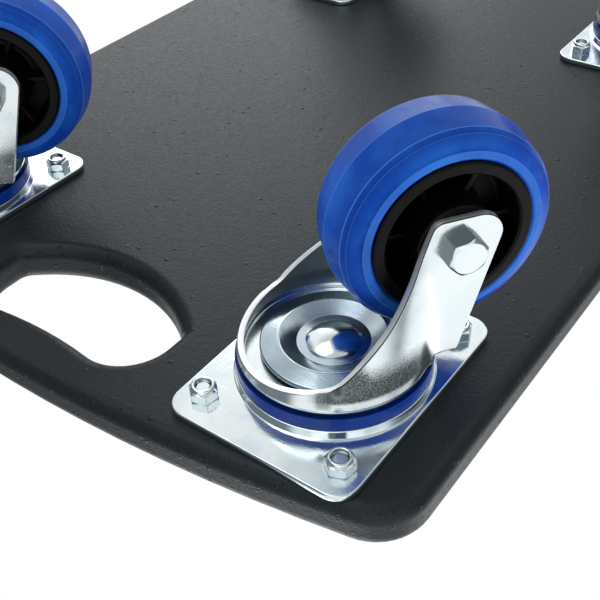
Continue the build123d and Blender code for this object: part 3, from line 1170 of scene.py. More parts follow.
@dataclass(frozen=True)
class SwivelHead:
    """Dust seal, lower race cup and king pin, all turned about the swivel axis."""

    levels: Levels
    seal_inner: float = 32.5
    seal_outer: float = 36.8
    lip_thickness: float = 0.5
    lip_drop: float = 1.6
    cup_thickness: float = 1.8
    floor_radius: float = 13.7
    ridge_radius: float = 20.4
    edge_radius: float = 27.4
    ridge_depth: float = 2.7
    edge_depth: float = 0.7
    pin: float = 6.0
    shoulder: float = 9.0
    dome_radius: float = 10.4
    dome_rim: float = 0.9
    count: int = 160
    pin_count: int = 96
    dome_rows: int = 14

    def seal_surface(self) -> Surface:
        """Seal: a ring on the boss with a thin lip that hangs over the crown's edge.

        Returns:
            The seal's closed surface.
        """
        top, lip = self.levels.boss_face, self.levels.seal_lip
        base, lip_inner = lip + self.lip_drop, self.seal_outer - self.lip_thickness
        return lathe(
            rounded(
                [
                    (self.seal_inner, top),
                    (self.seal_outer, top, 0.5),
                    (self.seal_outer, lip, 0.2),
                    (lip_inner, lip, 0.2),
                    (lip_inner, base, 0.1),
                    (self.seal_inner, base),
                ]
            ),
            self.count,
        )

    def cup_surface(self) -> Surface:
        """Race cup: a pressed dish of even thickness with a rounded trough.

        Returns:
            The cup's closed surface.
        """
        floor = self.levels.cup_floor
        ridge, edge, down = floor - self.ridge_depth, floor - self.edge_depth, self.cup_thickness
        bore = self.pin + FIT
        return lathe(
            rounded(
                [
                    (bore, floor),
                    (self.floor_radius, floor, 1.2),
                    (self.ridge_radius, ridge, 1.0),
                    (self.edge_radius, edge, 0.5),
                    (self.edge_radius, edge - down, 0.7),
                    (self.ridge_radius, ridge - down, 1.6),
                    (self.floor_radius, floor - down, 1.0),
                    (bore, floor - down),
                ]
            ),
            self.count,
        )

    def pin_surface(self) -> Surface:
        """King pin: rivet head, shoulder, shank and dome; the dome is an arc from its rim to the axis.

        Returns:
            The pin's closed surface.
        """
        floor, boss = self.levels.cup_floor, self.levels.boss_face
        base = floor - self.cup_thickness
        head_seat = boss + PLATE_THICKNESS
        rise = base - self.dome_rim - self.levels.dome
        sphere = (self.dome_radius**2 + rise**2) / (2 * rise)
        angle = np.linspace(math.asin(self.dome_radius / sphere), 0, self.dome_rows)
        level = self.levels.dome + sphere * (1 - np.cos(angle))
        dome = np.stack([sphere * np.sin(angle), level], axis=-1)
        stem = rounded(
            [
                (0, self.levels.pin_top),
                (self.shoulder, self.levels.pin_top, 0.8),
                (self.shoulder, head_seat),
                (self.pin, head_seat),
                (self.pin, boss),
                (self.shoulder, boss),
                (self.shoulder, floor),
                (self.pin, floor),
                (self.pin, base),
                (self.dome_radius, base, 0.25),
                (self.dome_radius, base - self.dome_rim),
            ],
            closed=False,
        )
        return lathe(np.concatenate([stem, dome[1:]]), self.pin_count, closed=False)

    def build(self, place: CasterPlace, finishes: Finishes) -> None:
        """Makes and dresses the seal, cup and pin of one caster, and dresses its ball rows.

        Args:
            place: the caster that it belongs to.
            finishes: the set of materials.
        """
        pieces = (
            ("dust_seal", self.seal_surface(), finishes.seal, Slot.SEAL, "seal_ring"),
            ("lower_race", self.cup_surface(), finishes.cup_zinc, Slot.STEEL, "race_cup"),
            ("domed_pin", self.pin_surface(), finishes.zinc, Slot.STEEL, "king_pin"),
        )
        for name, surface, finish, slot, node in pieces:
            surface = surface.moved(place.fixed)
            make_piece(place.node(name), surface, finish, "board", [place.node(node)])
        for row in ("upper_ball_row", "lower_ball_row"):
            dress(place.node(row), finishes.ball)


@dataclass(frozen=True)
class Pinch:
    """One small dent that the press leaves in the outer face of the fork's skirt.

    The angle counts from the trailing direction and the drop from the skirt's upper end. Tone is
    how dark the dent is, lip how bright the painted highlight on its rim.
    """

    angle: float
    drop: float
    width: float
    height: float
    depth: float
    tone: float
    lip: float


@dataclass(frozen=True)
class Fork:
    """Pressed fork: a flat crown, a bent skirt that draws in, and two swept legs of one sheet."""

    levels: Levels
    thickness: float = 2.6
    crown_radius: float = 36.0
    crown_hole: float = 17.0
    crown_bend: float = 3.0
    crown_collar: float = 1.6
    bend_share: float = 0.97
    inner_edge: float = 0.2
    outer_edge: float = 0.45
    skirt_front_drop: float = 13.2
    skirt_side_drop: float = 19.8
    skirt_side_reach: float = 11.0
    skirt_side_round: float = 12.0
    knee_ahead: float = 21.3
    knee_above: float = 16.2
    knee_round: float = 55.0
    foot_ahead: float = 10.0
    foot_ahead_round: float = 4.0
    foot_behind: float = 16.8
    foot_behind_round: float = 8.5
    shoulder_drop: float = 15.0
    shoulder_behind: float = 37.8
    bend_spread: float = 9.0
    bend_range: float = 1.6
    bend_reach: int = 24
    # The painted shade line along the free edge's outer round reaches this far from the trail.
    burr_to: float = math.radians(112)
    galled_from: float = math.radians(44)
    galled_to: float = math.radians(126)
    galled_soft: float = math.radians(14)
    galled_start: float = 2.0
    galled_rise: float = 1.2
    galled_depth: float = 15.5
    galled_fade: float = 7.0
    galled_front: float = math.radians(88)
    galled_more: float = 9.0
    pinches: tuple[Pinch, ...] = (
        Pinch(math.radians(116.3), drop=3.7, width=2.7, height=3.2, depth=0.5, tone=0.9, lip=0.0),
        Pinch(math.radians(108.0), drop=7.3, width=2.1, height=2.3, depth=0.45, tone=1.1, lip=0.12),
    )
    pinch_edge: float = 1.4
    pinch_fall: float = 0.6
    leg_count: int = 72
    flank_count: int = 81
    front_count: int = 121
    crown_count: int = 180
    halvings: int = 44

    @property
    def plate_face(self) -> float:
        """Level of the plate's face on the wheel side."""
        return self.levels.board_underside - PLATE_THICKNESS

    @property
    def skirt_start(self) -> float:
        """Level where the crown's collar ends and the drawn skirt begins."""
        return self.levels.crown_top - self.crown_bend - self.crown_collar

    def crown_surface(self) -> Surface:
        """Crown: a flat ring whose outer edge bends down into the skirt.

        Returns:
            The crown's closed surface.
        """
        top = self.levels.crown_top
        under = top - self.thickness
        inner = self.crown_radius - self.thickness
        bend = self.bend_share * (self.crown_bend + self.crown_collar)
        return lathe(
            rounded(
                [
                    (self.crown_hole, top, 0.5),
                    (self.crown_radius, top, bend),
                    (self.crown_radius, self.skirt_start),
                    (inner, self.skirt_start),
                    (inner, under, 0.6),
                    (self.crown_hole, under, 0.5),
                ]
            ),
            self.crown_count,
        )

    def side_edge(self, place: CasterPlace) -> Array:
        """Side view of the fork's free edge: skirt front, knee, foot, and the leg's back to its shoulder.

        Args:
            place: the caster, for its trail and axle.

        Returns:
            Points as (distance behind the swivel axis, height).
        """
        return rounded(
            [
                (-self.crown_radius - self.thickness, self.plate_face - self.skirt_front_drop),
                (-self.skirt_side_reach, self.plate_face - self.skirt_side_drop, self.skirt_side_round),
                (place.trail - self.knee_ahead, place.axle + self.knee_above, self.knee_round),
                (place.trail - self.foot_ahead, self.levels.foot, self.foot_ahead_round),
                (place.trail + self.foot_behind, self.levels.foot, self.foot_behind_round),
                (self.shoulder_behind, self.plate_face - self.shoulder_drop),
            ],
            closed=False,
            steps=12,
        )

    def plan(self, tip: float) -> tuple[Array, Array, Array]:
        """Middle of the sheet in plan, from one leg's back round the front to the other's.

        At the crown the run is a circle, at the feet its flanks are straight and flush with the
        legs. A blur along the run turns the crease between circle and leg into a soft bend.

        Args:
            tip: how far back the legs reach.

        Returns:
            Points at the crown, points at the feet, and whether each lies in a flat leg.
        """
        radius, half = self.crown_radius - self.thickness / 2, LEG_HALF - self.thickness / 2
        join = math.sqrt(radius**2 - half**2)
        back = tip - (tip - join) * (1 - np.cos(np.linspace(0, math.pi / 2, self.leg_count)[:-1]))
        leg = np.stack([back, half + 0 * back], axis=-1)
        side = np.linspace(math.atan2(half, join), math.pi / 2, self.flank_count)
        front = np.linspace(math.pi / 2, math.pi, self.front_count)[1:]
        ahead = join * np.linspace(1, 0, self.flank_count)
        flank = np.stack([ahead, half + 0 * ahead], axis=-1)
        circle = np.concatenate([side, front])
        crown = np.concatenate([leg, radius * np.stack([np.cos(circle), np.sin(circle)], axis=-1)])
        foot = np.concatenate([leg, flank, half * np.stack([np.cos(front), np.sin(front)], axis=-1)])
        reach, row = self.bend_reach, np.arange(len(crown))
        kernel = bell(np.arange(-reach, reach + 1) / self.bend_spread)
        padded = np.pad(crown, ((reach, reach), (0, 0)), mode="edge")
        smooth = [np.convolve(padded[:, k], kernel / kernel.sum(), "valid") for k in (0, 1)]
        near = bell((row - len(leg)) / (self.bend_range * self.bend_spread))
        crown = crown + near[:, None] * (np.stack(smooth, axis=-1) - crown)
        in_leg = row < len(leg)
        other = np.array([1.0, -1.0])
        return (
            np.concatenate([crown, crown[-2::-1] * other]),
            np.concatenate([foot, foot[-2::-1] * other]),
            np.concatenate([in_leg, in_leg[-2::-1]]),
        )

    def heights(self, edge: Array, crown: Array, foot: Array, in_leg: Array) -> tuple[Array, Array]:
        """Lower and upper end of the sheet at each place of the plan.

        The lower end is where the line from crown to foot meets the side view's edge, found by
        halving. The upper end is the crown's collar, or the leg's own back edge.

        Args:
            edge: side view of the free edge.
            crown: plan at the crown.
            foot: plan at the feet.
            in_leg: which places lie in a flat leg.

        Returns:
            Lower and upper levels.
        """
        tip = edge[:, 0].argmax()
        low_run, high_run = edge[: tip + 1], edge[tip:][::-1]
        low = np.full(len(crown), self.levels.foot)
        high = np.full(len(crown), self.skirt_start)
        for _ in range(self.halvings):
            middle = (low + high) / 2
            drop = (self.skirt_start - middle) / (self.skirt_start - self.levels.foot)
            along = crown[:, 0] + drop * (foot[:, 0] - crown[:, 0])
            above = middle > np.interp(along, low_run[:, 0], low_run[:, 1])
            high = np.where(above, middle, high)
            low = np.where(above, low, middle)
        shoulder = self.plate_face - self.shoulder_drop
        leg_back = np.interp(crown[:, 0], high_run[:, 0], high_run[:, 1], left=shoulder)
        top = np.where(in_leg, np.minimum(leg_back, shoulder), self.skirt_start)
        bottom = (low + high) / 2
        return bottom, np.maximum(top, bottom)

    def section(self, rows: int = 44, steps: int = 4) -> Array:
        """Rounded section across the sheet, in shares of its height and fillets.

        Two more points stand close to both ends of each face, so that it shades flat.

        Args:
            rows: points along each face.
            steps: points in each rounded edge.

        Returns:
            Rows of (share of height, rise by the lower fillet, fall by the upper fillet,
            side of the sheet, draw-in by the fillet).
        """
        up = np.concatenate([[0.0, 0.008], np.linspace(0.02, 0.98, rows), [0.992, 1.0]])
        bend = np.linspace(0, math.pi / 2, steps + 1)[:-1]
        one, zero = np.ones_like(bend), np.zeros_like(bend)
        outer = np.stack([up, 1 - up, up, 1 + 0 * up, 0 * up], axis=-1)
        top_out = np.stack([one, zero, 1 - np.sin(bend), one, 1 - np.cos(bend)], axis=-1)
        top_in = np.stack([one, zero, 1 - np.cos(bend), -one, 1 - np.sin(bend)], axis=-1)
        inner = np.stack([up[::-1], 1 - up[::-1], up[::-1], -1 + 0 * up, 0 * up], axis=-1)
        low_in = np.stack([zero, 1 - np.sin(bend), zero, -one, 1 - np.cos(bend)], axis=-1)
        low_out = np.stack([zero, 1 - np.cos(bend), zero, one, 1 - np.sin(bend)], axis=-1)
        return np.concatenate([outer, top_out[1:], top_in, inner, low_in[1:], low_out])

    def off_trail(self, crown: Array) -> Array:
        """Angle of each place of the plan from the trailing direction, as a column."""
        return np.abs(np.arctan2(crown[:, 1], crown[:, 0]))[:, None]

    def dents(self, crown: Array, level: Array) -> list[Array]:
        """Masks of the press dents: hollows with flat floors in the outer face, on both sides alike.

        Args:
            crown: plan at the crown.
            level: height of each point.

        Returns:
            One mask for each dent, from 0 to 1.
        """
        angle = self.off_trail(crown)
        masks = []
        for pinch in self.pinches:
            along = self.crown_radius * (angle - pinch.angle) / pinch.width
            across = (self.skirt_start - pinch.drop - level) / pinch.height
            masks.append(np.exp(-(along**4) - across**4))
        return masks

    def sheet_surface(self, place: CasterPlace) -> Surface:
        """Skirt and legs: at each place of the plan, a thin rounded section that spans the sheet's height.

        A point is the line from crown to foot at its level, pushed out or in along the plan's
        normal by half the thickness, less the rounding of the edges and the press dents.

        Args:
            place: the caster, for its trail and axle.

        Returns:
            The sheet's closed surface in the caster's own frame.
        """
        edge = self.side_edge(place)
        crown, foot, in_leg = self.plan(edge[:, 0].max())
        bottom, top = self.heights(edge, crown, foot, in_leg)
        height = top - bottom
        section = self.section()[None]
        share, rise, fall, side, draw = (section[..., k] for k in range(5))
        edge_round = np.where(side > 0, self.outer_edge, self.inner_edge)
        fillet = np.minimum(edge_round, height[:, None] / 2)
        top_fillet = np.where(in_leg[:, None], fillet, 0.0)
        level = bottom[:, None] + share * height[:, None] + rise * fillet - fall * top_fillet
        drop = ((self.skirt_start - level) / (self.skirt_start - self.levels.foot))[..., None]

        def sideways(run: Array) -> Array:
            """Unit normals of a run in plan, all on one side of it: the tangents turned a quarter.

            Args:
                run: points of the run.

            Returns:
                A unit normal at each point.
            """
            along = np.gradient(run, axis=0)
            along /= np.linalg.norm(along, axis=1, keepdims=True)
            return np.stack([along[:, 1], -along[:, 0]], axis=-1)

        # 1 where those normals point away from the middle of the plan, else -1
        way = np.sign((sideways(crown) * (crown - crown.mean(axis=0))).sum(axis=1).mean())
        out = sideways(crown)[:, None] * (1 - drop) + sideways(foot)[:, None] * drop
        out = way * out / np.linalg.norm(out, axis=-1, keepdims=True)
        middle = crown[:, None] * (1 - drop) + foot[:, None] * drop
        rounding = draw * np.where(share > 0.5, top_fillet, fillet)
        dents = self.dents(crown, level)
        depth = sum(pinch.depth * dent for pinch, dent in zip(self.pinches, dents))
        offset = side * (self.thickness / 2 - rounding) - depth * (side > 0)
        points = np.concatenate([middle + offset[..., None] * out, level[..., None]], axis=-1)
        sheet = grid(points, wrap_columns=True)
        tones, lip_highlights = 0.0, 0.0
        for pinch, dent in zip(self.pinches, dents):
            tones = tones + pinch.tone * dent * (self.pinch_edge - self.pinch_fall * dent)
            # Painted highlight on the rims of the dents.
            lip_highlights = lip_highlights + 4 * pinch.lip * dent * (1 - dent)
        behind = self.off_trail(crown) < self.burr_to
        corner = (side > 0) & (share < 0.5) & (draw > 0) & (draw < 1)
        marks = {
            "galling": self.galling(crown, level) * (side > 0),
            "pinched": tones * (side > 0),
            # Painted shade on the inner face of the sheet.
            "inner": ((side < 0) & (draw == 0)) + 0 * level,
            # Painted shade line on the outer round of the free edge, on the legs' part.
            "burr": corner * behind + 0 * level,
            # Sheared edge, made rougher, and the dents' rims, both with a painted highlight.
            "sheared": np.maximum((draw > 0) & ~corner, lip_highlights * (side > 0)) + 0 * level,
        }
        return Surface(sheet.points, sheet.quads, {name: mark.ravel() for name, mark in marks.items()})

    def galling(self, crown: Array, level: Array) -> Array:
        """Where the press dragged along the outer flanks: a band below the collar that fades downwards.

        The band grows deeper towards the front end.

        Args:
            crown: plan at the crown.
            level: height of each point.

        Returns:
            How strongly each point is galled, from 0 to 1.
        """
        angle, soft = self.off_trail(crown), self.galled_soft
        flank = ramp(angle - self.galled_from, soft) * ramp(self.galled_to - angle, soft)
        depth = self.galled_depth + self.galled_more * ramp(angle - self.galled_front, soft)
        drop = self.skirt_start - level
        band = ramp(drop - self.galled_start, self.galled_rise) * ramp(depth - drop, self.galled_fade)
        return flank * band

    def build(self, place: CasterPlace, finishes: Finishes) -> None:
        """Makes and dresses the fork of one caster, and dresses its axle sleeve.

        Args:
            place: the caster that it belongs to.
            finishes: the set of materials.
        """
        surface = joined([self.crown_surface(), self.sheet_surface(place)]).moved(place.trailing)
        name, body = place.node("pressed_fork"), place.node("swivel")
        make_piece(name, surface, finishes.fork_zinc, body, [place.node("fork")])
        dress(place.node("axle_sleeve"), finishes.zinc)


@dataclass(frozen=True)
class Wheel:
    """Solid rubber tyre on a ribbed black rim.

    Painted highlights on the raised edges are given as (drop from the tread, distance from the
    middle, how pale). Painted shade goes by the drop from the tread.
    """

    radius: float = 40.0
    rim_radius: float = 28.8
    rim_half: float = 17.0
    recess_radius: float = 24.3
    web_half: float = 3.0
    hub_radius: float = 14.0
    hub_half: float = 20.0
    bore: float = 8.55
    rib_count: int = 6
    rib_thickness: float = 2.2
    rib_half: float = 9.0
    rib_round: float = 0.6
    rib_root: float = 2.0
    rib_tip: float = 1.0
    # Painted highlights along the raised edges of the section.
    worn_edges: tuple[Triple, ...] = (
        (0.0, 0.0, 0.8),
        (1.6, 11.1, 1.0),
        (2.9, 13.2, 0.4),
        (7.7, 16.3, 0.9),
        (9.9, 16.4, 0.5),
    )
    edge_spread: float = 0.1
    lip_side: float = 16.1
    # Painted highlight over the lips next to the rim.
    lip_wear: float = 0.25
    # Painted shade by the drop from the tread: most in the step at the shoulder.
    grime_drops: tuple[float, ...] = (0.2, 1.6, 2.9, 7.5)
    grime_shares: tuple[float, ...] = (0.1, 0.42, 0.72, 0.0)
    tyre_count: int = 192
    rim_count: int = 128

    def tyre_profile(self) -> Array:
        """Section of the tyre: roof-shaped tread, crisp shoulders, sloping flanks, stepped lips, bed.

        Returns:
            Points as (radius, distance from the middle).
        """
        top = self.radius
        half = [
            (top, 0.0, 0.8),
            (top - 1.6, 11.1, 0.6),
            (top - 2.9, 13.2, 1.6),
            (top - 7.3, 15.2, 0.3),
            (top - 7.7, 16.3, 0.35),
            (top - 9.9, 16.4, 0.8),
            (top - 10.8, 15.9, 0.3),
            (self.rim_radius + FIT, 15.5),
        ]
        return rounded(mirrored(half))

    def tyre_surface(self) -> Surface:
        """Tyre turned about +Z, with a mark on its raised edges: a bell around each edge of the section.

        The mark on the raised edges is a painted highlight. A second mark holds painted shade: most in
        the step at the shoulder, fading over tread and flank.

        Returns:
            The tyre's closed surface with its two marks.
        """
        tyre = lathe(self.tyre_profile(), self.tyre_count)
        radius = np.hypot(tyre.points[:, 0], tyre.points[:, 1])
        side = np.abs(tyre.points[:, 2])
        edges = 0 * side
        # Painted highlights: a bell around each raised edge, and the lips next to the rim.
        for drop, out, share in self.worn_edges:
            off = (radius - self.radius + drop) ** 2 + (side - out) ** 2
            edges = np.maximum(edges, share * np.exp(-off / (2 * self.edge_spread**2)))
        edges = np.maximum(edges, self.lip_wear * (side > self.lip_side))
        # Painted shade, most in the step at the shoulder.
        grime = np.interp(self.radius - radius, self.grime_drops, self.grime_shares)
        return Surface(tyre.points, tyre.quads, {"edges": edges, "grime": grime})

    def rim_profile(self) -> Array:
        """Section of the rim: tyre bed, flat side ring, deep recess, web, hub and bore.

        The small numbers are its chamfers, drafts and rounds.

        Returns:
            Points as (radius, distance from the middle).
        """
        half = [
            (self.rim_radius, self.rim_half - 0.5, 0.3),
            (self.rim_radius - 0.6, self.rim_half, 0.3),
            (self.recess_radius + 0.8, self.rim_half, 0.4),
            (self.recess_radius, self.rim_half - 0.8, 0.4),
            (self.recess_radius - 0.6, self.web_half, 1.5),
            (self.hub_radius + 0.8, self.web_half, 1.5),
            (self.hub_radius, self.hub_half - 1.7, 0.4),
            (self.hub_radius - 0.7, self.hub_half - 0.9, 0.2),
            (self.hub_radius - 0.9, self.hub_half, 0.4),
            (self.bore, self.hub_half, 0.3),
        ]
        return rounded(mirrored(half), steps=4)

    def ribs(self) -> Surface:
        """Thin ribs of the recess: a rounded section carried out from hub to rim, once for each angle.

        Returns:
            All ribs as one surface.
        """
        thick, deep = self.rib_thickness / 2, self.rib_half
        upper = [(-thick, deep, self.rib_round), (thick, deep, self.rib_round)]
        section = rounded(mirrored(upper), steps=3)
        reach = np.array([self.hub_radius - self.rib_root, self.recess_radius + self.rib_tip])[:, None]
        across, along = section[None, :, 0] + 0 * reach, section[None, :, 1] + 0 * reach
        rib = grid(np.stack([reach + 0 * across, across, along], axis=-1), wrap_columns=True)
        return joined([rib.moved(spun(angle)) for angle in turns(self.rib_count)])

    def build(self, place: CasterPlace, finishes: Finishes) -> None:
        """Makes and dresses the tyre and rim of one caster, and dresses its bearing.

        Args:
            place: the caster that it belongs to.
            finishes: the set of materials.
        """
        body = place.node("wheel")
        tyre = self.tyre_surface().moved(place.on_axle)
        make_piece(place.node("rubber_tyre"), tyre, finishes.rubber, body, [place.node("tyre")])
        rim = joined([lathe(self.rim_profile(), self.rim_count), self.ribs()]).moved(place.on_axle)
        make_piece(place.node("ribbed_rim"), rim, finishes.rim, body, [place.node("rim")])
        dress(place.node("roller_bearing"), finishes.cage)


@dataclass(frozen=True)
class NutSize:
    """Sizes of one lock nut and its thread."""

    thread: float
    pitch: float
    flats: float
    hex_height: float
    collar_height: float
    collar: float

    @property
    def height(self) -> float:
        """Height over the collar."""
        return self.hex_height + self.collar_height


PLATE_NUT = NutSize(thread=3.0, pitch=1.0, flats=10.0, hex_height=4.2, collar_height=1.5, collar=4.45)
AXLE_NUT = NutSize(thread=4.0, pitch=1.25, flats=13.0, hex_height=5.6, collar_height=2.4, collar=5.9)


@dataclass(frozen=True)
class Fasteners:
    """Lock nuts, countersunk plate bolts and the axle's bolt and nut."""

    levels: Levels
    head_height: float = 5.3
    axle_end: float = 1.5
    spacing_x: float = 60.0
    spacing_y: float = 80.0
    sink_radius: float = 6.0
    socket_flats: float = 4.0
    socket_depth: float = 2.0
    end_inset: float = 1.2
    plate_plain: float = 7.0
    axle_threaded: float = 6.0
    chamfer_start: float = 0.455
    chamfer_slope: float = math.tan(math.radians(30))
    flank_reach: float = 0.998
    lip_share: float = 0.25
    lip_roll: float = 0.75 * math.pi
    neck_foot: float = 0.3
    neck_rise: float = 0.2
    bed_gap: float = 0.1
    bed_drop: float = 2.2
    bore_drop: float = 1.5
    end_chamfer: float = 0.6
    end_radii: Triple = (0.82, 0.76, 0.0)
    socket_cone: float = 0.5
    socket_edge: float = 0.25
    socket_mouth: float = 0.62
    head_sink: float = 0.02
    head_edge: float = 0.35
    head_land: float = 0.3
    nut_sharp: float = 24.0
    bolt_sharp: float = 28.0
    first_turn: float = math.radians(8.3)
    next_turn: float = math.radians(32.2)
    head_turn: float = math.radians(14.0)
    count: int = 36

    def chamfer(self, flats: float, level: float, way: int) -> Array:
        """Rows of a 30 degree cone that cuts a hexagon's end: the radius grows away from the end.

        Args:
            flats: the hexagon's size.
            level: height of the end.
            way: 1 where the hexagon lies above that level, -1 where it lies below.

        Returns:
            Rows of (radius, height, flats) from the end inwards.
        """
        reach = np.linspace(self.chamfer_start * flats, flats / math.sqrt(3), 6)
        height = level + way * (reach - reach[0]) * self.chamfer_slope
        return np.stack([reach, height, 0 * reach + flats], axis=-1)

    def nut(self, size: NutSize) -> Surface:
        """Lock nut standing on z = 0: a chamfered hexagon, then a collar that rolls in over its bore.

        Args:
            size: sizes of the nut.

        Returns:
            The nut, with the inside of its collar marked.
        """
        bore, lip = size.thread + FIT, self.lip_share * size.thread
        roll = np.linspace(0, self.lip_roll, 9)
        collar = np.stack(
            [size.collar - lip * (1 - np.cos(roll)), size.height - lip * (1 - np.sin(roll)), 0 * roll],
            axis=-1,
        )
        seat = [(bore, 0.0, 0.0)]
        neck = [
            (size.collar + self.neck_foot, size.hex_height, 0.0),
            (size.collar, size.hex_height + self.neck_rise, 0.0),
        ]
        bed = [(bore + self.bed_gap, size.height - self.bed_drop * lip, 0.0), *seat]
        low = self.chamfer(size.flats, 0.0, 1)
        high = self.chamfer(size.flats, size.hex_height, -1)[::-1]
        nut = grid(faceted(np.concatenate([seat, low, high, neck, collar, bed])), wrap_columns=True)
        x, y, level = nut.points.T
        # Marks the inside of the collar for painted shade.
        inside = (np.hypot(x, y) < size.collar - self.bore_drop * lip) & (level > size.hex_height)
        return Surface(nut.points, nut.quads, {"flanks": inside.astype(float)})

    def thread_end(self, size: NutSize, start: float, end: float) -> Array:
        """Threaded length with a chamfered end that closes on the axis.

        Args:
            size: the nut that the thread fits.
            start: height where the thread starts.
            end: height of the bolt's end.

        Returns:
            Grid of points, rows along the thread.
        """
        way = math.copysign(1.0, end - start)
        coil = threaded(size.thread, start, end - way * self.end_chamfer, size.pitch, self.count)
        radius = np.array(self.end_radii)[:, None] * size.thread
        level = np.array([[end - way * self.end_chamfer / 2], [end], [end]])
        return np.concatenate([coil, turned(radius, level, turns(self.count)[None, :])])

    def plate_bolt(self) -> Surface:
        """Countersunk bolt: hexagon socket, cone, shank and thread down to its end inside the nut.

        Returns:
            The bolt about its own axis, at its height.
        """
        top = self.levels.load_face
        end = self.levels.board_underside - PLATE_THICKNESS - PLATE_NUT.height + self.end_inset
        thread, shank = PLATE_NUT.thread, top - self.plate_plain
        head = [
            (0.0, top - self.socket_depth - self.socket_cone, 0.0),
            (self.socket_flats, top - self.socket_depth, self.socket_flats),
            (self.socket_flats, top - self.socket_edge, self.socket_flats),
            (self.socket_mouth * self.socket_flats, top - self.head_sink, 0.0),
            (self.sink_radius - self.head_edge, top - self.head_sink, 0.0),
            (self.sink_radius, top - self.head_land, 0.0),
            (thread, top - self.head_land - self.sink_radius + thread, 0.0),
            (thread, shank, 0.0),
        ]
        rows = np.concatenate([faceted(np.array(head), self.count), self.thread_end(PLATE_NUT, shank, end)])
        return grid(rows, wrap_columns=True)

    def axle_bolt(self) -> Surface:
        """Axle bolt along its own axis: chamfered hexagon head outside one leg, thread through the nut.

        Returns:
            The bolt, with the sides of its head marked for a painted dark reflection.
        """
        seat, face = LEG_HALF, LEG_HALF + self.head_height
        shank = -LEG_HALF + self.axle_threaded
        end = -LEG_HALF - AXLE_NUT.height - self.axle_end
        head = np.concatenate(
            [
                [(0.0, face, 0.0)],
                self.chamfer(AXLE_NUT.flats, face, -1),
                [(AXLE_NUT.flats, seat, AXLE_NUT.flats), (AXLE_NUT.thread, seat, 0.0)],
                [(AXLE_NUT.thread, shank, 0.0)],
            ]
        )
        rows = np.concatenate([faceted(head, self.count), self.thread_end(AXLE_NUT, shank, end)])
        bolt = grid(rows, wrap_columns=True)
        x, y, level = bolt.points.T
        reach = hexagon(np.arctan2(y, x), AXLE_NUT.flats)
        # Marks the sides of the head for a painted dark reflection.
        flanks = (np.hypot(x, y) > self.flank_reach * reach) & (level > seat - FIT)
        return Surface(bolt.points, bolt.quads, {"flanks": flanks.astype(float)})

    def bolt_spots(self, place: CasterPlace) -> list[tuple[float, float]]:
        """The four bolt places of one caster's plate.

        Args:
            place: the caster that it belongs to.

        Returns:
            Places as (x, y).
        """
        return [
            (place.x + side * self.spacing_x / 2, place.y + end * self.spacing_y / 2)
            for side in (-1, 1)
            for end in (-1, 1)
        ]

    def build_plate_set(self, places: Sequence[CasterPlace], finishes: Finishes) -> None:
        """Makes and dresses all plate nuts and all plate bolts, each nut turned its own way.

        Args:
            places: all casters.
            finishes: the set of materials.
        """
        seat = self.levels.board_underside - PLATE_THICKNESS
        nut, bolt = self.nut(PLATE_NUT), self.plate_bolt()
        nuts, bolts = [], []
        for i, (x, y) in enumerate(spot for place in places for spot in self.bolt_spots(place)):
            turn = self.first_turn + i * self.next_turn
            nuts.append(nut.moved(spun(turn, flip=True)).moved(shifted(x, y, seat)))
            bolts.append(bolt.moved(spun(turn)).moved(shifted(x, y, 0.0)))
        sets = (
            ("lock_nuts", nuts, "plate_nuts", self.nut_sharp),
            ("countersunk_bolts", bolts, "plate_bolts", self.bolt_sharp),
        )
        for name, parts, node, sharp in sets:
            make_piece(name, joined(parts), finishes.bolt_zinc, "board", [node], sharp)

    def build_axle(self, place: CasterPlace, finishes: Finishes) -> None:
        """Makes and dresses the axle bolt and nut of one caster.

        Args:
            place: the caster that it belongs to.
            finishes: the set of materials.
        """
        body = place.node("swivel")
        bolt = self.axle_bolt().moved(spun(self.head_turn))
        nut = self.nut(AXLE_NUT).moved(spun(0.0, flip=True)).moved(shifted(0, 0, -LEG_HALF))
        pair = (("hex_axle_bolt", bolt, "axle_bolt"), ("axle_lock_nut", nut, "axle_nut"))
        for name, surface, node in pair:
            surface, name, nodes = surface.moved(place.on_axle), place.node(name), [place.node(node)]
            make_piece(name, surface, finishes.bolt_zinc, body, nodes, self.nut_sharp)


# Studio


@dataclass(frozen=True)
class Lamp:
    """A square soft lamp: its name, place in metres, side and power in watts."""

    name: str
    spot: Triple
    size: float
    power: float


@dataclass(frozen=True)
class Patch:
    """A part of the surroundings: the way to it, where a ray enters it and where it is full, its level."""

    way: Triple
    start: float
    full: float
    level: float


SIDE_WAY = (-0.807, 0.590, 0.0)
WHITE = (1.0, 1.0, 1.0)


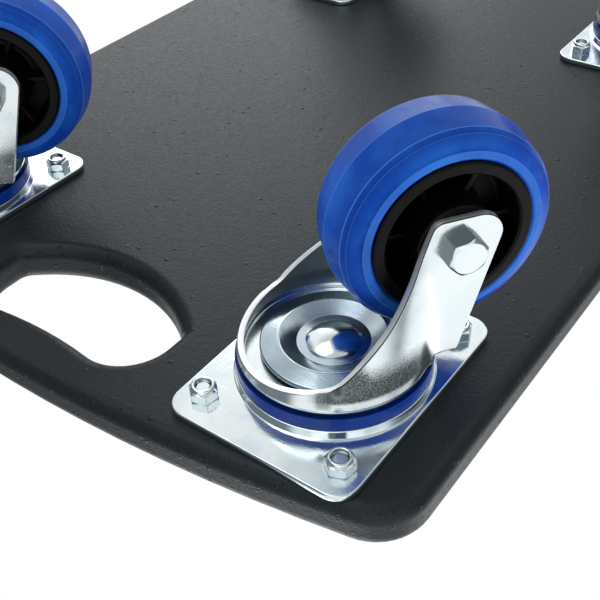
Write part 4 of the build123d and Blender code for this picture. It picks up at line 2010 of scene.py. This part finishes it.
@dataclass(frozen=True)
class Studio:
    """Camera, lamps, white surroundings with dim parts, soft light from two sides, and a pale floor.

    Dim patches show in reflections alone: a card on the near side, both sides and below. Soft
    patches light the object.
    """

    camera_place: Triple = (-0.2613, -0.3728, -0.1469)
    camera_right: Triple = (-0.80625, 0.5902, 0.04036)
    camera_up: Triple = (0.35395, 0.53594, -0.76648)
    camera_back: Triple = (-0.47401, -0.60369, -0.641)
    lens: float = 56.725
    sensor: float = 36.0
    near: float = 0.01
    floor_size: float = 8.0
    fade_from: float = 0.5
    floor_drop: float = 0.0003
    floor_colour: Colour = (0.80, 0.80, 0.80)
    floor_roughness: float = 0.9
    surround: float = 0.8
    least_soft: float = 0.4
    soft: tuple[Patch, ...] = (
        Patch((-0.875, 0.267, 0.395), 0.2, 0.9, 2.5),
        Patch(SIDE_WAY, -0.3, -0.9, 1.6),
    )
    dim: tuple[Patch, ...] = (
        Patch((-0.66, -0.30, -0.69), 0.90, 0.985, 0.9),
        Patch(SIDE_WAY, 0.69, 0.82, 0.85),
        Patch(SIDE_WAY, -0.58, -0.74, 0.85),
        Patch((0.0, 0.0, -1.0), 0.68, 0.9, 0.4),
    )
    dim_colour: Colour = (0.03, 0.06, 0.085)
    lamp_target: Triple = (0.0, 0.0, 0.06)
    lamps: tuple[Lamp, ...] = (
        Lamp("key_above", (0.2, -0.7, 2.1), 1.4, 11.0),
        Lamp("fill_above", (-1.2, 0.6, 1.4), 1.2, 4.0),
        Lamp("sheen_above", (-1.1, -0.36, 0.96), 1.2, 0.5),
        Lamp("key_below", (0.35, -0.45, -1.35), 0.8, 3.2),
        Lamp("fill_below", (-0.75, -1.0, -0.75), 1.2, 1.5),
        Lamp("back_below", (0.95, 1.05, -0.60), 1.0, 5.0),
    )

    def camera(self) -> None:
        """Places the camera at the photograph's viewing angle."""
        data = bpy.data.cameras.new("camera")
        data.lens = self.lens
        data.sensor_width = self.sensor
        data.clip_start = self.near
        camera = bpy.data.objects.new("camera", data)
        axes = Matrix((self.camera_right, self.camera_up, self.camera_back)).transposed()
        camera.matrix_world = Matrix.Translation(self.camera_place) @ axes.to_4x4()
        bpy.context.scene.collection.objects.link(camera)
        bpy.context.scene.camera = camera

    def light(self) -> None:
        """Adds the soft lamps, above the board and below it, each facing the middle of the object."""
        for lamp in self.lamps:
            data = bpy.data.lights.new(lamp.name, "AREA")
            data.shape = "SQUARE"
            data.size = lamp.size
            data.energy = lamp.power
            body = bpy.data.objects.new(lamp.name, data)
            body.location = lamp.spot
            way = Vector(self.lamp_target) - Vector(lamp.spot)
            body.rotation_euler = way.to_track_quat("-Z", "Y").to_euler()
            bpy.context.scene.collection.objects.link(body)

    def strongest(
        self, sheet: Sheet, ray: Socket, patches: Sequence[Patch], least: float, scale: float
    ) -> Socket:
        """Level of the strongest patch that a ray points to.

        Args:
            sheet: the world under construction.
            ray: the ray's direction.
            patches: parts of the surroundings.
            least: level away from all of them.
            scale: what all levels are multiplied by.

        Returns:
            The level.
        """
        levels = [
            sheet.span(
                sheet.towards(ray, patch.way), patch.start, patch.full, scale * least, scale * patch.level
            )
            for patch in patches
        ]
        strongest = levels[0]
        for level in levels[1:]:
            strongest = sheet.math("MAXIMUM", strongest, level)
        return strongest

    def surroundings(self) -> None:
        """World: white to the eye, white with dim patches in reflections, and soft patches as light.

        The dim patches let metal and paint show their forms.
        """
        world = bpy.data.worlds.new("white_studio")
        world.use_nodes = True
        bpy.context.scene.world = world
        sheet = Sheet(world.node_tree)
        background = world.node_tree.nodes["Background"]
        ray = sheet.add("ShaderNodeTexCoord").outputs["Generated"]
        dimmed = self.strongest(sheet, ray, self.dim, 0.0, 1.0)
        path = sheet.add("ShaderNodeLightPath").outputs
        room = sheet.mix(dimmed, rgba(WHITE), rgba(self.dim_colour))
        reflected = sheet.math("MAXIMUM", path["Is Glossy Ray"], path["Is Transmission Ray"])
        level = self.strongest(sheet, ray, self.soft, self.least_soft, self.surround)
        plain = sheet.mix(path["Is Camera Ray"], level, rgba(WHITE))
        sheet.put(background.inputs["Color"], sheet.mix(reflected, plain, room))

    def floor(self) -> None:
        """Pale floor that fades out far away and is clear from below, where the main camera stands."""
        half = self.floor_size / 2
        mesh = bpy.data.meshes.new("floor")
        corners = [(-half, -half), (half, -half), (half, half), (-half, half)]
        mesh.from_pydata([(x, y, -self.floor_drop) for x, y in corners], [], [(0, 1, 2, 3)])
        floor = bpy.data.objects.new("floor", mesh)
        bpy.context.scene.collection.objects.link(floor)
        floor.visible_shadow = False
        floor.visible_glossy = False
        floor.visible_diffuse = False
        material = bpy.data.materials.new("pale_floor")
        material.use_nodes = True
        sheet = Sheet(material.node_tree)
        shader = material.node_tree.nodes["Principled BSDF"]
        shader.inputs["Base Color"].default_value = rgba(self.floor_colour)
        shader.inputs["Roughness"].default_value = self.floor_roughness
        below = sheet.add("ShaderNodeNewGeometry").outputs["Backfacing"]
        spot = sheet.add("ShaderNodeTexCoord").outputs["Object"]
        reach = sheet.add("ShaderNodeVectorMath", {0: spot}, operation="LENGTH").outputs["Value"]
        faded = sheet.span(reach, self.fade_from, half)
        clear = sheet.add("ShaderNodeBsdfTransparent").outputs["BSDF"]
        share = sheet.math("MAXIMUM", below, faded)
        either = sheet.add("ShaderNodeMixShader", {0: share, 1: shader.outputs["BSDF"], 2: clear})
        output = material.node_tree.nodes["Material Output"]
        sheet.put(output.inputs["Surface"], either.outputs["Shader"])
        mesh.materials.append(material)

    def build(self) -> None:
        """Sets up the whole studio."""
        bpy.context.scene.view_settings.view_transform = "Standard"
        self.camera()
        self.light()
        self.surroundings()
        self.floor()


def main() -> None:
    """Builds the studio and every sub-assembly in order."""
    logging.basicConfig(level=logging.INFO, format="%(name)s: %(message)s")
    Studio().build()
    levels = Levels.from_frame()
    finishes = Finishes.built(levels)
    dress("board", finishes.paint)
    places = [CasterPlace.from_frame(corner) for corner in Corner]
    fasteners = Fasteners(levels)
    for place in places:
        TopPlate(levels).build(place, finishes)
        SwivelHead(levels).build(place, finishes)
        Fork(levels).build(place, finishes)
        Wheel().build(place, finishes)
        fasteners.build_axle(place, finishes)
    fasteners.build_plate_set(places, finishes)


if __name__ == "__main__":
    main()
